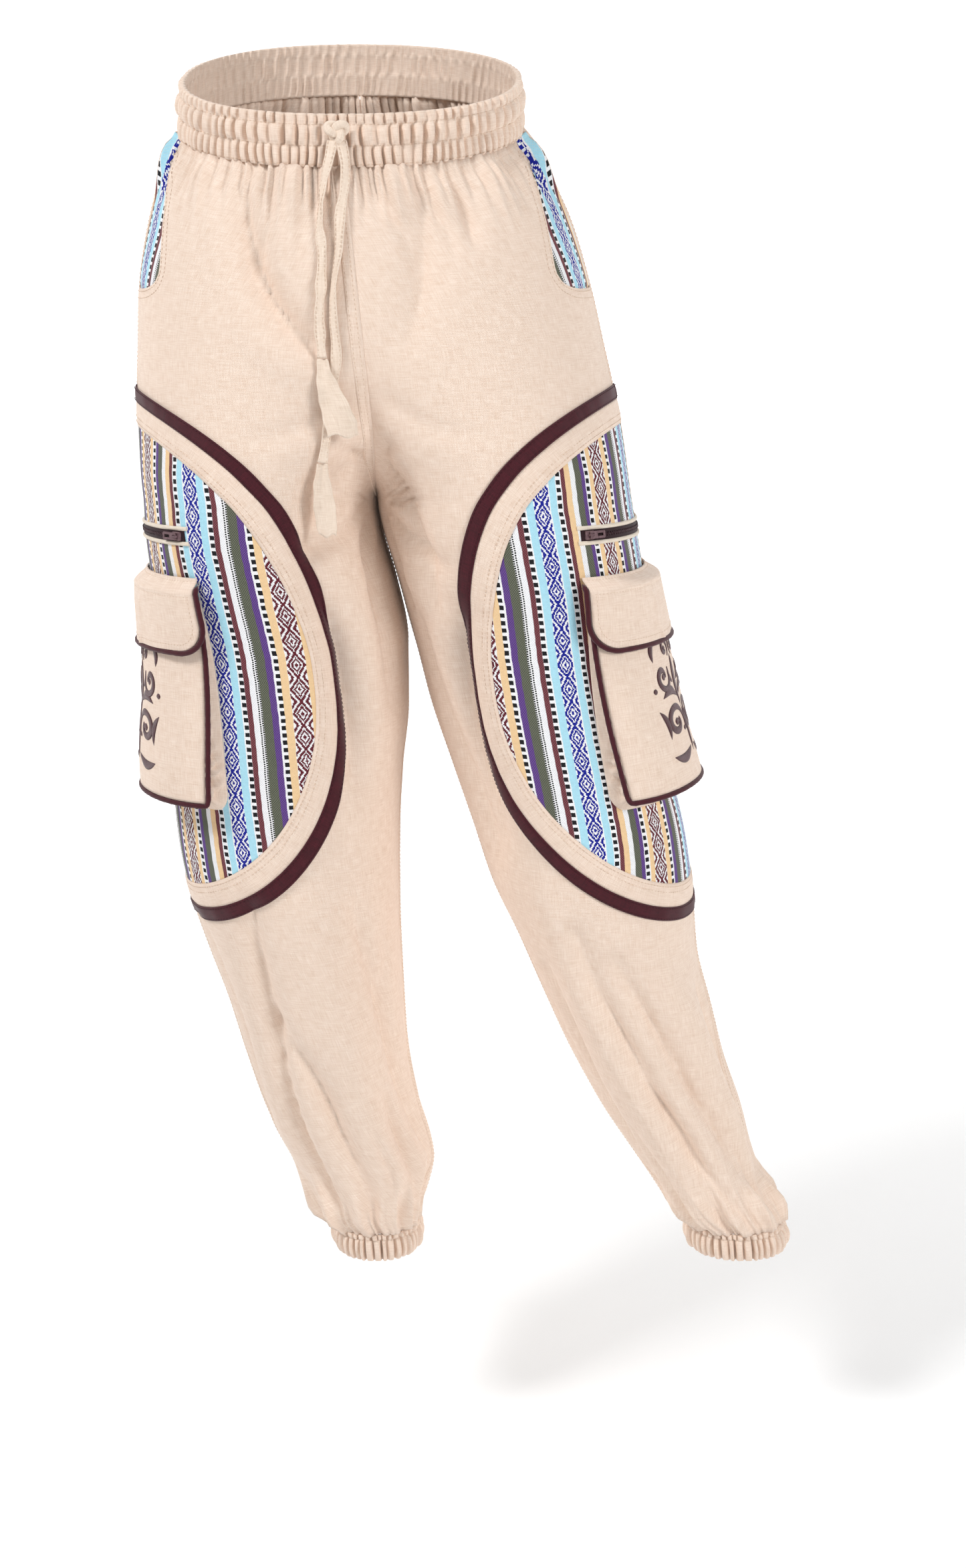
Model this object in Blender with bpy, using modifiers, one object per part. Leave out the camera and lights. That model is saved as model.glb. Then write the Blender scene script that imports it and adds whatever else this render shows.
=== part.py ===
"""Embroidered cotton trousers in their worn form, hollow, open at the waist and at both cuffs.

Metres, +Z up, the wearer faces -Y. The origin is the middle of the waist ring, where the wearer holds
the garment up. Right and left are the wearer's: the right leg is at -X. A place on a leg is written as
(along, height): `along` runs round the leg from the side seam, negative to the front, and `height` is
measured from the wearer's soles.
"""

import math

import bmesh
import bpy
import mathutils
import numpy as np

# ---------------------------------------------------------------- driving sizes, in metres
WAIST_HEIGHT = 1.100  # middle of the waist ring above the soles
CLOTH = 0.0014  # wall of the beige cotton
OVERLAY = 0.0010  # wall of a piece that is sewn on
GAP = 0.0003  # between neighbours at a seam
FRONT_COLUMNS = 10
BACK_COLUMNS = 9  # cells across a front or a back panel
BODY_SQUARENESS = 2.2  # 2 is an ellipse, more is squarer

# The garment's sections from waist to cuff. Millimetres but for the last columns.
#   height above the soles; right_out and left_out: outer edges in X; right_in and left_in: inner edges,
#   which meet at the centre seam down to the fork; split: 0 one trunk, 1 two separate legs; mid_y and
#   depth: middle and half depth front to back; rise: how much higher the section is for each metre back;
#   turn: degrees from the outermost line to the side seam, negative to the front
FORM_COLUMNS = (
    "height", "right_out", "left_out", "right_in", "left_in", "split", "mid_y", "depth", "rise", "turn",
)
FORM = (
    (1130, -124, 131, 2, 2, 0.00, 0, 100, 0.39, -5),
    (1092, -126, 132, 3, 3, 0.00, 0, 102, 0.37, -5),
    (1070, -137, 147, 5, 5, 0.02, 1, 110, 0.32, -5),
    (1030, -152, 169, 9, 9, 0.06, 4, 120, 0.24, -5),
    (980, -163, 186, 13, 13, 0.14, 8, 129, 0.15, -5),
    (940, -166, 196, 16, 16, 0.28, 11, 134, 0.09, -6),
    (900, -168, 206, 19, 19, 0.47, 12, 136, 0.05, -9),
    (860, -167, 214, 21, 21, 0.72, 10, 136, 0.02, -12),
    (835, -166, 218, 20, 20, 0.90, 8, 135, 0.0, -13),
    (815, -164, 221, 19, 19, 1.00, 6, 134, 0.0, -14),
    (790, -163, 225, 22, 24, 1.00, 4, 132, 0.0, -14),
    (750, -159, 231, 33, 36, 1.00, 2, 128, 0.0, -14),
    (700, -153, 236, 42, 49, 1.00, 0, 122, 0.0, -14),
    (650, -150, 243, 42, 62, 1.00, -3, 118, 0.0, -14),
    (600, -149, 254, 37, 79, 1.00, -6, 113, 0.0, -14),
    (550, -146, 267, 34, 96, 1.00, -8, 108, 0.0, -14),
    (500, -138, 275, 33, 113, 1.00, -10, 103, 0.0, -14),
    (450, -124, 280, 34, 136, 1.00, -9, 97, 0.0, -14),
    (400, -109, 294, 36, 157, 1.00, -8, 90, 0.0, -14),
    (350, -96, 307, 39, 179, 1.00, -6, 83, 0.0, -14),
    (300, -81, 324, 48, 206, 1.00, -6, 74, 0.0, -14),
    (255, -59, 337, 60, 236, 1.00, -10, 62, 0.0, -14),
    (229, -44, 348, 52, 257, 1.00, -17, 52, 0.0, -14),
    (215, -36, 356, 47, 267, 1.00, -21, 45, 0.0, -14),
    (203, -26, 361, 48, 278, 1.00, -24, 38, 0.0, -14),
    (179, -21, 363, 47, 282, 1.00, -24, 37, 0.0, -14),
)

SIDES = {"right": -1, "left": 1}


def column(name):
    """One column of FORM, from the lowest section up, in metres and degrees."""
    place = FORM_COLUMNS.index(name)
    unit = 1.0 if name in ("split", "rise", "turn") else 0.001
    return np.array([row[place] for row in reversed(FORM)], float) * unit


def smooth(name, height):
    """A column of FORM at any height, on a curve with no overshoot through its rows."""
    x = column("height")
    y = column(name)
    step = np.diff(x)
    slope = np.diff(y) / step
    product = slope[:-1] * slope[1:]
    mean = 2 * product / np.where(product > 0, slope[:-1] + slope[1:], 1)
    tangent = np.concatenate([slope[:1], np.where(product > 0, mean, 0), slope[-1:]])
    i = np.clip(np.searchsorted(x, height, side="right") - 1, 0, len(x) - 2)
    u = (height - x[i]) / step[i]
    return (
        y[i] * (1 + 2 * u) * (1 - u) ** 2
        + y[i + 1] * u * u * (3 - 2 * u)
        + step[i] * (tangent[i] * u * (1 - u) ** 2 - tangent[i + 1] * u * u * (1 - u))
    )


def power(value, exponent):
    return np.sign(value) * np.abs(value) ** exponent


def section_angle(split):
    """Half of the angle that a leg's section covers: a quarter turn each way in the trunk, a half turn
    below the fork."""
    return math.pi - np.arccos(np.clip(split, 0, 1) ** (BODY_SQUARENESS / 2))


def section_point(side, height, angle):
    """The plain form at an angle from the outermost line, negative to the front."""
    sign = SIDES[side]
    split = smooth("split", height)
    inner = smooth(side + "_in", height) + sign * GAP / 2
    half_width = np.abs(smooth(side + "_out", height) - inner) / (1 + split)
    mid_y = smooth("mid_y", height)
    bend = 2 / BODY_SQUARENESS
    x = inner + sign * half_width * (split + power(np.cos(angle), bend))
    y = mid_y + smooth("depth", height) * power(np.sin(angle), bend)
    z = height - WAIST_HEIGHT + smooth("rise", height) * (y - mid_y)
    return np.stack([x, y, z], axis=-1)


# ---------------------------------------------------------------- how the cloth lies on that form
SAMPLES = 361  # points that measure the way round a section
STEP = 0.0015  # distance between the places that a slope is read from

# Creases on a leg, as places along and heights in millimetres at their start, middle and end. Depth is
# how far the trough goes in, a ridge's is negative, and width is from its middle to where it fades.
FOLD_COLUMNS = (
    "side", "along", "height", "mid_along", "mid_height", "end_along", "end_height", "depth", "width",
)
FOLDS = (
    ("right", -112, 1082, -160, 1000, -215, 936, 7, 13),
    ("right", -160, 960, -190, 930, -228, 915, -4, 16),
    ("left", -150, 1060, -172, 1010, -205, 950, 4, 16),
    ("left", -110, 1085, -116, 1060, -126, 1030, 4, 9),
    ("right", -250, 850, -215, 815, -190, 770, 5, 16),
    ("left", -262, 850, -238, 800, -226, 740, 5, 16),
    ("right", -262, 790, -256, 740, -252, 660, 4, 14),
    ("left", -255, 720, -236, 620, -214, 540, 5, 16),
    ("right", -194, 745, -205, 690, -203, 610, 9, 19),
    ("left", -198, 730, -208, 660, -200, 560, 9, 18),
    ("right", -98, 504, -72, 390, -40, 231, 6, 13),
    ("right", -21, 478, -24, 400, -10, 300, 5, 12),
    ("right", -78, 400, -96, 320, -72, 231, 5, 12),
    ("right", -140, 500, -130, 380, -108, 249, -6, 18),
    ("right", -183, 496, -180, 390, -170, 271, 5, 13),
    ("right", -150, 330, -142, 280, -120, 234, 5, 11),
    ("left", -166, 512, -128, 390, -80, 231, -7, 15),
    ("left", -140, 480, -106, 360, -64, 231, 6, 13),
    ("left", -107, 456, -66, 350, -30, 249, 6, 13),
    ("left", -60, 440, -34, 360, -12, 269, -5, 13),
    ("left", -18, 420, -10, 340, 4, 249, 5, 11),
    ("left", -176, 440, -158, 330, -126, 235, 5, 12),
    ("right", 70, 1060, 110, 980, 170, 900, 5, 17),
    ("left", 78, 1050, 120, 975, 165, 905, 5, 17),
    ("right", 120, 860, 185, 820, 235, 760, 7, 18),
    ("left", 130, 865, 190, 815, 238, 755, 7, 18),
    ("right", 225, 850, 205, 760, 215, 660, 5, 15),
    ("left", 232, 845, 214, 760, 222, 650, 5, 15),
    ("right", 60, 490, 84, 400, 66, 249, 6, 14),
    ("left", 72, 486, 80, 390, 58, 245, 6, 14),
    ("right", 150, 500, 134, 400, 112, 249, 6, 14),
    ("left", 150, 505, 140, 395, 106, 249, 6, 14),
    ("right", 112, 380, 100, 310, 86, 239, -5, 13),
    ("left", 112, 370, 104, 305, 84, 241, -5, 13),
)
SEAM_REACH = 0.016  # a crease fades over this distance from the centre seam and the inseam

# Gathers: each wave runs in from a seam and fades. Millimetres.
GATHER_COLUMNS = ("seam_height", "fade", "at_seam", "most")
WAIST_GATHERS = (1092, 52, 1.2, 3.2)
CUFF_GATHERS = (203, 62, 1.4, 4.0)

section_memory = {}


def section(side, height):
    """Angles round a leg's section, and how far along from the side seam each of them lies."""
    key = (side, round(float(height), 7))
    if key not in section_memory:
        limit = float(section_angle(smooth("split", height)))
        angle = np.linspace(-limit, limit, SAMPLES)
        point = section_point(side, height, angle)
        arc = np.concatenate([[0.0], np.cumsum(np.linalg.norm(np.diff(point, axis=0), axis=1))])
        seam = np.interp(math.radians(float(smooth("turn", height))), angle, arc)
        section_memory[key] = (angle, arc - seam)
    return section_memory[key]


def by_section(side, along, height, work):
    """Runs work(along, angles, arc, height) on the places of each height, and joins what it gives."""
    along, height = np.broadcast_arrays(np.asarray(along, float), np.asarray(height, float))
    result = None
    for level in np.unique(height):
        chosen = height == level
        value = work(along[chosen], *section(side, level), level)
        if result is None:
            result = np.empty(along.shape + value.shape[1:])
        result[chosen] = value
    return result


def plain(side, along, height):
    """The plain form's point at a place."""
    return by_section(
        side, along, height, lambda a, angle, arc, h: section_point(side, h, np.interp(a, arc, angle))
    )


def share(side, along, height):
    """-1 at the centre front or the inseam's front edge, 0 at the side seam, 1 at the back edge."""
    return by_section(
        side, along, height, lambda a, angle, arc, h: np.where(a < 0, a / -arc[0], a / arc[-1])
    )


def edges(side, along, height):
    """Where a panel's section starts at the front and ends at the back, as places along."""
    return by_section(
        side, along, height, lambda a, angle, arc, h: np.tile([arc[0], arc[-1]], (len(a), 1))
    )


def ease(value):
    """0 below 0, 1 above 1, with a soft step between."""
    value = np.clip(value, 0, 1)
    return value * value * (3 - 2 * value)


def fold_relief(side, along, height):
    """What the creases add outwards at places on a leg."""
    total = np.zeros(np.shape(along))
    for row in FOLDS:
        fold = dict(zip(FOLD_COLUMNS, row))
        if fold["side"] != side:
            continue
        start = np.array([fold["along"], fold["height"]]) / 1000
        middle = np.array([fold["mid_along"], fold["mid_height"]]) / 1000
        end = np.array([fold["end_along"], fold["end_height"]]) / 1000
        nearest = np.full(np.shape(along), 9.0)
        travel = np.zeros(np.shape(along))
        for u in np.linspace(0, 1, 41):
            point = start * (1 - u) * (1 - 2 * u) + middle * 4 * u * (1 - u) + end * u * (2 * u - 1)
            away = np.hypot(along - point[0], height - point[1])
            closer = away < nearest
            nearest = np.where(closer, away, nearest)
            travel = np.where(closer, u, travel)
        strength = 0.25 + 0.75 * np.sin(math.pi * np.clip(0.08 + 0.84 * travel, 0, 1))
        total -= fold["depth"] / 1000 * strength * np.exp(-((nearest * 1000 / fold["width"]) ** 2))
    ends = edges(side, along, height)
    inward = np.minimum(along - ends[..., 0], ends[..., 1] - along)
    return total * ease(inward / SEAM_REACH)


def gather_relief(side, along, height, table, upward):
    """Waves that run in from a gathered seam: most a little way from it, and gone at their fade."""
    gathers = dict(zip(GATHER_COLUMNS, table))
    away = np.abs(np.asarray(height) * 1000 - gathers["seam_height"]) / gathers["fade"]
    size = gathers["at_seam"] + (gathers["most"] - gathers["at_seam"]) * ease(away * 4)
    size = size * (1 - ease((away - 0.2) / 0.8))
    at = share(side, along, height)
    uneven = 1 + 0.3 * np.sin(7.3 * at + upward) + 0.25 * np.sin(17.0 * at + 2 * upward)
    waves = np.where(at < 0, FRONT_COLUMNS, BACK_COLUMNS)
    return size / 1000 * uneven * np.cos(math.pi * waves * at)


def relief(side, along, height):
    waist = gather_relief(side, along, height, WAIST_GATHERS, 1)
    cuff = gather_relief(side, along, height, CUFF_GATHERS, 2)
    return fold_relief(side, along, height) + waist + cuff


def facing(shape, side, along, height):
    """The outward unit normal of a surface that shape(side, along, height) gives."""
    along, height = np.broadcast_arrays(np.asarray(along, float), np.asarray(height, float))
    ends = edges(side, along, height)
    along = np.clip(along, ends[..., 0], ends[..., 1])
    ahead = shape(side, np.minimum(along + STEP, ends[..., 1]), height)
    behind = shape(side, np.maximum(along - STEP, ends[..., 0]), height)
    rise = shape(side, along, height + STEP) - shape(side, along, height - STEP)
    normal = np.cross(ahead - behind, rise) * SIDES[side]
    return normal / np.linalg.norm(normal, axis=-1, keepdims=True)


def cloth(side, along, height):
    """The outer face of the trousers' cloth at a place."""
    outward = facing(plain, side, along, height)
    return plain(side, along, height) + outward * relief(side, along, height)[..., None]


def lifted(side, along, height, lift):
    """A point that stands off the cloth by lift, square to it."""
    outward = facing(cloth, side, along, height)
    return cloth(side, along, height) + outward * np.asarray(lift)[..., None]


# ---------------------------------------------------------------- meshes
parts = bpy.data.collections.new("embroidered_trousers")
cutters = bpy.data.collections.new("cutters")


def material(name, colour, roughness=0.9, metallic=0.0):
    made = bpy.data.materials.new(name)
    made.use_nodes = True
    shader = made.node_tree.nodes["Principled BSDF"]
    shader.inputs["Base Color"].default_value = (*colour, 1.0)
    shader.inputs["Roughness"].default_value = roughness
    shader.inputs["Metallic"].default_value = metallic
    return made


def mesh_object(name, points, faces, finish, smooth_shading=True):
    """A closed mesh from points and faces, with its faces turned outwards."""
    shape = bmesh.new()
    corners = [shape.verts.new(point) for point in points]
    for face in faces:
        shape.faces.new([corners[i] for i in face])
    bmesh.ops.recalc_face_normals(shape, faces=shape.faces)
    data = bpy.data.meshes.new(name)
    shape.to_mesh(data)
    shape.free()
    if smooth_shading:
        data.shade_smooth()
        data.set_sharp_from_angle(angle=math.radians(50))
    made = bpy.data.objects.new(name, data)
    made.data.materials.append(finish)
    parts.objects.link(made)
    return made


def walled(name, outer, inner, faces, finish):
    """A cloth wall: two layers of the same faces, closed round their rim."""
    count = len(outer)
    rim = {}
    for face in faces:
        for a, b in zip(face, face[1:] + face[:1]):
            if (b, a) in rim:
                del rim[(b, a)]
            else:
                rim[(a, b)] = True
    layers = [tuple(face) for face in faces] + [tuple(i + count for i in reversed(face)) for face in faces]
    sides = [(b, a, a + count, b + count) for a, b in rim]
    return mesh_object(name, np.concatenate([outer, inner]), layers + sides, finish)


def grid_faces(rows, columns):
    """Quads of a grid of points that is numbered row by row."""
    return [
        [r * columns + c, r * columns + c + 1, (r + 1) * columns + c + 1, (r + 1) * columns + c]
        for r in range(rows - 1)
        for c in range(columns - 1)
    ]


def grid_wall(name, points, thickness, finish, lean=0.0):
    """A wall of this thickness about a grid of points. lean moves it to one side, from -1 to 1."""
    across = np.gradient(points, axis=1)
    down = np.gradient(points, axis=0)
    square = np.cross(across, down)
    square /= np.linalg.norm(square, axis=-1, keepdims=True)
    rows, columns = points.shape[:2]
    outer = points + square * thickness * (1 + lean) / 2
    inner = points - square * thickness * (1 - lean) / 2
    return walled(name, outer.reshape(-1, 3), inner.reshape(-1, 3), grid_faces(rows, columns), finish)


def tube(name, path, radius, finish, roundness=2):
    """A round tube along a path, closed at both ends."""
    data = bpy.data.curves.new(name, "CURVE")
    data.dimensions = "3D"
    data.bevel_depth = radius
    data.bevel_resolution = roundness
    data.use_fill_caps = True
    spline = data.splines.new("POLY")
    spline.points.add(len(path) - 1)
    for point, at in zip(spline.points, path):
        point.co = (*at, 1.0)
    made = bpy.data.objects.new(name, data)
    made.data.materials.append(finish)
    parts.objects.link(made)
    return made


# ---------------------------------------------------------------- the cloth's own grid
# Heights of the grid's rows in millimetres: close together where the form or the gathers need it.
ROWS = (
    1092, 1074, 1046, 1012, 978, 940, 900, 866, 842, 826, 815, 790, 752, 712, 672, 632, 592, 552, 512,
    472, 432, 392, 354, 316, 281, 253, 233, 217, 203,
)


def leg_grid(side):
    """Every grid point as (along, height, outer point, outward normal), row by row."""
    height = np.array(ROWS, float)[:, None] / 1000
    ahead = np.linspace(-1, 0, FRONT_COLUMNS + 1)
    step = np.concatenate([ahead, np.linspace(0, 1, BACK_COLUMNS + 1)[1:]])[None, :]
    height, step = np.broadcast_arrays(height, step)
    ends = edges(side, height * 0, height)
    along = np.where(step < 0, -step * (ends[..., 0] + GAP / 2), step * (ends[..., 1] - GAP / 2))
    point = cloth(side, along, height)
    normal = facing(cloth, side, along, height)
    return np.concatenate([along[..., None], height[..., None], point, normal], axis=-1)


def grid_triangles(grid):
    rows, columns = grid.shape[:2]
    corners = grid.reshape(-1, grid.shape[-1])
    for a, b, c, d in grid_faces(rows, columns):
        yield corners[[a, b, c]]
        yield corners[[a, c, d]]


def on_grid(side, along, height, lift):
    """The point that stands off the grid's own facet by lift."""
    for triangle in grid_triangles(GRIDS[side]):
        corner, second, third = triangle[:, :2]
        pair = np.stack([second - corner, third - corner], axis=-1)
        weight = np.linalg.solve(pair, np.array([along, height]) - corner)
        if (weight >= 0).all() and weight.sum() <= 1:
            weights = np.array([1 - weight.sum(), *weight])
            return weights @ (triangle[:, 2:5] + triangle[:, 5:8] * lift)
    return None


def keep_inside(polygon, start, end):
    """The part of a convex polygon on the left of the line from start to end."""
    edge = end - start
    kept = []
    for here, there in zip(polygon, polygon[1:] + polygon[:1]):
        a = edge[0] * (here[1] - start[1]) - edge[1] * (here[0] - start[0])
        b = edge[0] * (there[1] - start[1]) - edge[1] * (there[0] - start[0])
        if a >= 0:
            kept.append(here)
        if a * b < 0:
            kept.append(here + (there - here) * (a / (a - b)))
    return kept


def patch(side, cells):
    """The cloth's grid cut to convex cells in (along, height). Gives its corners and its faces."""
    corners, faces, known = [], [], {}
    triangles = [(t, t[:, :2].min(axis=0), t[:, :2].max(axis=0)) for t in grid_triangles(GRIDS[side])]
    for cell in cells:
        cell = np.array(cell, float)
        area = np.cross(cell - cell[0], np.roll(cell, -1, axis=0) - cell[0]).sum()
        if area < 0:
            cell = cell[::-1]
        low = cell.min(axis=0)
        high = cell.max(axis=0)
        for triangle, least, most in triangles:
            if (most < low).any() or (least > high).any():
                continue
            piece = list(triangle)
            for start, end in zip(cell, np.roll(cell, -1, axis=0)):
                piece = keep_inside(piece, start, end)
                if len(piece) < 3:
                    break
            face = []
            for corner in piece:
                key = (round(corner[0], 6), round(corner[1], 6))
                if key not in known:
                    known[key] = len(corners)
                    corners.append(corner)
                if known[key] not in face:
                    face.append(known[key])
            if len(face) > 2:
                faces.append(face)
    return np.array(corners), faces


def sewn_piece(name, side, cells, low, high, finish):
    """A wall over cells of a leg, between two distances from the cloth's outer face."""
    corners, faces = patch(side, cells)
    point = corners[:, 2:5]
    normal = corners[:, 5:8]
    return walled(name, point + normal * high, point + normal * low, faces, finish)


def box_cell(along, height):
    """A rectangular cell from its limits along and in height."""
    return [(along[0], height[0]), (along[1], height[0]), (along[1], height[1]), (along[0], height[1])]


# ---------------------------------------------------------------- the scene
for old in list(bpy.data.objects):
    bpy.data.objects.remove(old, do_unlink=True)
bpy.context.scene.collection.children.link(parts)
bpy.context.scene.collection.children.link(cutters)

COTTON = material("beige_cotton", (0.76, 0.60, 0.45))
STRIPED = material("striped_cotton", (0.45, 0.40, 0.45))
MAROON = material("maroon_cotton", (0.075, 0.012, 0.022), 0.8)
WELTING = material("off_white_cotton", (0.80, 0.74, 0.64))
TAPE = material("cream_tape", (0.78, 0.66, 0.50))
METAL = material("slider_metal", (0.16, 0.10, 0.11), 0.35, 1.0)

GRIDS = {side: leg_grid(side) for side in SIDES}
FAR = 1.0  # a cell that ends this far away ends where the panel does

# ---------------------------------------------------------------- front and back panels, hip pockets
# The scooped mouth of the hip pocket, from the waist seam down to the side seam.
SCOOP_COLUMNS = ("along", "height")
SCOOP = ((-22, 1092), (-31, 1076), (-42, 1055), (-55, 1030), (-65, 1005), (-66, 994), (-59, 986),
         (-40, 981), (0, 978))
HIP_FACING = (
    (-32, 1091), (-52, 1055), (-66, 1030), (-76, 1000), (-70, 978), (-40, 969), (0, 966), (0, 1091),
)


def front_cells():
    """The front panel's cells: strips that end at the scoop, and the rest down to the hem."""
    scoop = np.array(SCOOP, float) / 1000
    scoop[-1, 0] = -GAP / 2
    cells = []
    for (above, top), (below, bottom) in zip(scoop, scoop[1:]):
        cells.append([(-FAR, top), (-FAR, bottom), (below, bottom), (above, top)])
    cells.append(box_cell((-FAR, -GAP / 2), (0, scoop[-1, 1])))
    return cells


def leg_panels(side):
    sewn_piece(side + "_front", side, front_cells(), -CLOTH, 0, COTTON)
    sewn_piece(side + "_back", side, [box_cell((GAP / 2, FAR), (0, FAR * 2))], -CLOTH, 0, COTTON)
    cell = np.minimum(np.array(HIP_FACING, float) / 1000, [-GAP / 2, FAR * 2])
    under = CLOTH + GAP
    sewn_piece(side + "_hip_facing", side, [cell], -under - OVERLAY, -under, STRIPED)


# ---------------------------------------------------------------- the oval over the side seam
OVAL_MIDDLE = 0.694  # height of its middle
OVAL_SQUARENESS = 2.3
OVAL_CORNERS = 20
PANEL_HALF = (0.174, 0.181)  # half width along, half height
BAND_WIDTH = 0.0175
STRIP_WIDTH = 0.011
FIRST_LAYER = (GAP, GAP + OVERLAY)
SECOND_LAYER = (2 * GAP + OVERLAY, 2 * GAP + 2 * OVERLAY)


def oval(outset):
    """Corners of the striped panel's outline, moved out."""
    angle = np.arange(OVAL_CORNERS) * math.tau / OVAL_CORNERS
    bend = 2 / OVAL_SQUARENESS
    along = (PANEL_HALF[0] + outset) * power(np.cos(angle), bend)
    height = OVAL_MIDDLE + (PANEL_HALF[1] + outset) * power(np.sin(angle), bend)
    return np.stack([along, height], axis=-1)


def oval_ring(inner, outer):
    """Cells of the ring between two outsets of the oval."""
    near = oval(inner)
    far = oval(outer)
    return [
        (near[i], far[i], far[(i + 1) % OVAL_CORNERS], near[(i + 1) % OVAL_CORNERS])
        for i in range(OVAL_CORNERS)
    ]


def oval_pieces(side):
    sewn_piece(side + "_side_panel", side, [oval(0)], *FIRST_LAYER, STRIPED)
    sewn_piece(side + "_band", side, oval_ring(GAP, BAND_WIDTH), *FIRST_LAYER, COTTON)
    strip = oval_ring(BAND_WIDTH + GAP, BAND_WIDTH + GAP + STRIP_WIDTH)
    sewn_piece(side + "_strip", side, strip, GAP, GAP + OVERLAY * 1.4, MAROON)


# ---------------------------------------------------------------- waistband and cuffs
WAIST_TOP = 1.129
CUFF_BOTTOM = 0.179
WAIST_WAVES = 28
CUFF_WAVES = 20
WAVE_COLUMNS = 4  # columns for each wave
# Across a gathered band, from its free edge to its seam: place from 0 to 1, how far it stands out, and
# how deep its waves are, in millimetres.
BAND_ROW_COLUMNS = ("place", "out", "wave")
WAISTBAND_ROWS = ((0.0, 1.6, 1.9), (0.22, 0.0, 0.8), (0.41, 2.2, 1.6), (0.60, 0.0, 0.8), (0.80, 2.2, 1.6),
                  (1.0, 0.4, 0.9))
CUFF_ROWS = ((0.0, 0.6, 1.3), (0.5, 2.4, 2.1), (1.0, 0.4, 1.0))
WAISTBAND_WALL = 0.0034
CUFF_WALL = 0.0030


def gathered_ring(name, around, rows, waves, wall, finish):
    """A band with waves in its outer face over a plain inside. around(share, place) gives its plain
    points and outward normals for shares of the whole turn."""
    columns = waves * WAVE_COLUMNS
    turn = np.arange(columns) / columns
    points = []
    for place, out, wave in rows:
        base, outward = around(turn, place)
        phase = math.tau * waves * turn + 1.7 * math.sin(9 * place) * np.sin(math.tau * 3 * turn)
        uneven = 1 + 0.3 * np.sin(math.tau * 5 * turn + 8 * place)
        points.append(base + outward * ((out + wave * uneven * np.cos(phase)) / 1000)[:, None])
    for place in (rows[-1][0], rows[0][0]):
        base, outward = around(turn[::WAVE_COLUMNS], place)
        points.append(base - outward * wall)
    count = len(rows)
    inner = count * columns
    faces = []
    for r in range(count - 1):
        for c in range(columns):
            d = (c + 1) % columns
            faces.append((r * columns + c, r * columns + d, (r + 1) * columns + d, (r + 1) * columns + c))
    for w in range(waves):
        v = (w + 1) % waves
        near = (inner + w, inner + v)
        far = (inner + waves + w, inner + waves + v)
        faces.append((near[0], near[1], far[1], far[0]))
        for start, (left, right) in (((count - 1) * columns, near), (0, far)):
            outer = [start + (w * WAVE_COLUMNS + i) % columns for i in range(WAVE_COLUMNS + 1)]
            faces.append((outer[0], outer[1], outer[2], left))
            faces.append((outer[2], right, left))
            faces.append((outer[2], outer[3], outer[4], right))
    return mesh_object(name, np.concatenate(points), faces, finish)


def around_waist(turn, place):
    """Points round the waistband: down the right side from front to back, and up the left."""
    height = WAIST_TOP + (ROWS[0] / 1000 + GAP - WAIST_TOP) * place
    point = np.empty((len(turn), 3))
    outward = np.empty((len(turn), 3))
    for side in SIDES:
        chosen = turn < 0.5 if side == "right" else turn >= 0.5
        half = turn[chosen] * 2 if side == "right" else 2 - turn[chosen] * 2
        ends = edges(side, 0.0, height)
        along = ends[0] + (ends[1] - ends[0]) * half
        point[chosen] = plain(side, along, np.full(len(along), height))
        outward[chosen] = facing(plain, side, along, np.full(len(along), height))
    return point, outward


def around_cuff(side):
    def around(turn, place):
        height = CUFF_BOTTOM + (ROWS[-1] / 1000 - GAP - CUFF_BOTTOM) * place
        ends = edges(side, 0.0, height)
        along = ends[0] + (ends[1] - ends[0]) * turn
        level = np.full(len(along), height)
        return plain(side, along, level), facing(plain, side, along, level)

    return around


# ---------------------------------------------------------------- zip pocket
ZIP_HEIGHT = 0.7945
ZIP_ENDS = (-0.097, 0.048)
ZIP_HALF = 0.0040
WELT = 0.0030
TAB_THICKNESS = 0.0010
SLIDER_PLACE = -0.0905  # where the pull tab's hinge is, along
SLIDER_BASE = 0.0024 + GAP  # the slider's underside above the cloth
SLIDER_BODY = (0.0090, 0.0064, 0.0024)
HINGE_RISE = 0.0010  # the hinge above the slider's top
BRIDGE_PROFILE = ((-1.8, -0.5), (-1.0, -0.5), (-1.0, 2.0), (1.0, 2.0), (1.0, -0.5), (1.8, -0.5), (1.8, 2.8),
                  (-1.8, 2.8))
BRIDGE_WIDTH = 0.0014
TAB_LENGTH = 0.0150
TAB_WIDTH = 0.0056
TAB_BAR = 0.00045  # half of the bar that turns in the bridge


def slider_frame(side, lift):
    """A matrix at the slider: X back along the zip, Z out of the cloth."""
    place, behind, above = (
        on_grid(side, SLIDER_PLACE + step[0], ZIP_HEIGHT + step[1], lift)
        for step in ((0, 0), (0.002, 0), (0, 0.002))
    )
    outward = np.cross(behind - place, above - place) * SIDES[side]
    outward /= np.linalg.norm(outward)
    back = (behind - place) / np.linalg.norm(behind - place)
    axes = np.eye(4)
    axes[:3, :4] = np.stack([back, np.cross(outward, back), outward, place], axis=-1)
    return mathutils.Matrix([list(map(float, row)) for row in axes])


def outline(curve, corners):
    """Adds a closed outline of straight lines to a flat curve."""
    spline = curve.splines.new("POLY")
    spline.points.add(len(corners) - 1)
    for point, (x, y) in zip(spline.points, corners):
        point.co = (x, y, 0.0, 1.0)
    spline.use_cyclic_u = True


def rectangle(x, y):
    return [(x[0], y[0]), (x[1], y[0]), (x[1], y[1]), (x[0], y[1])]


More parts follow.
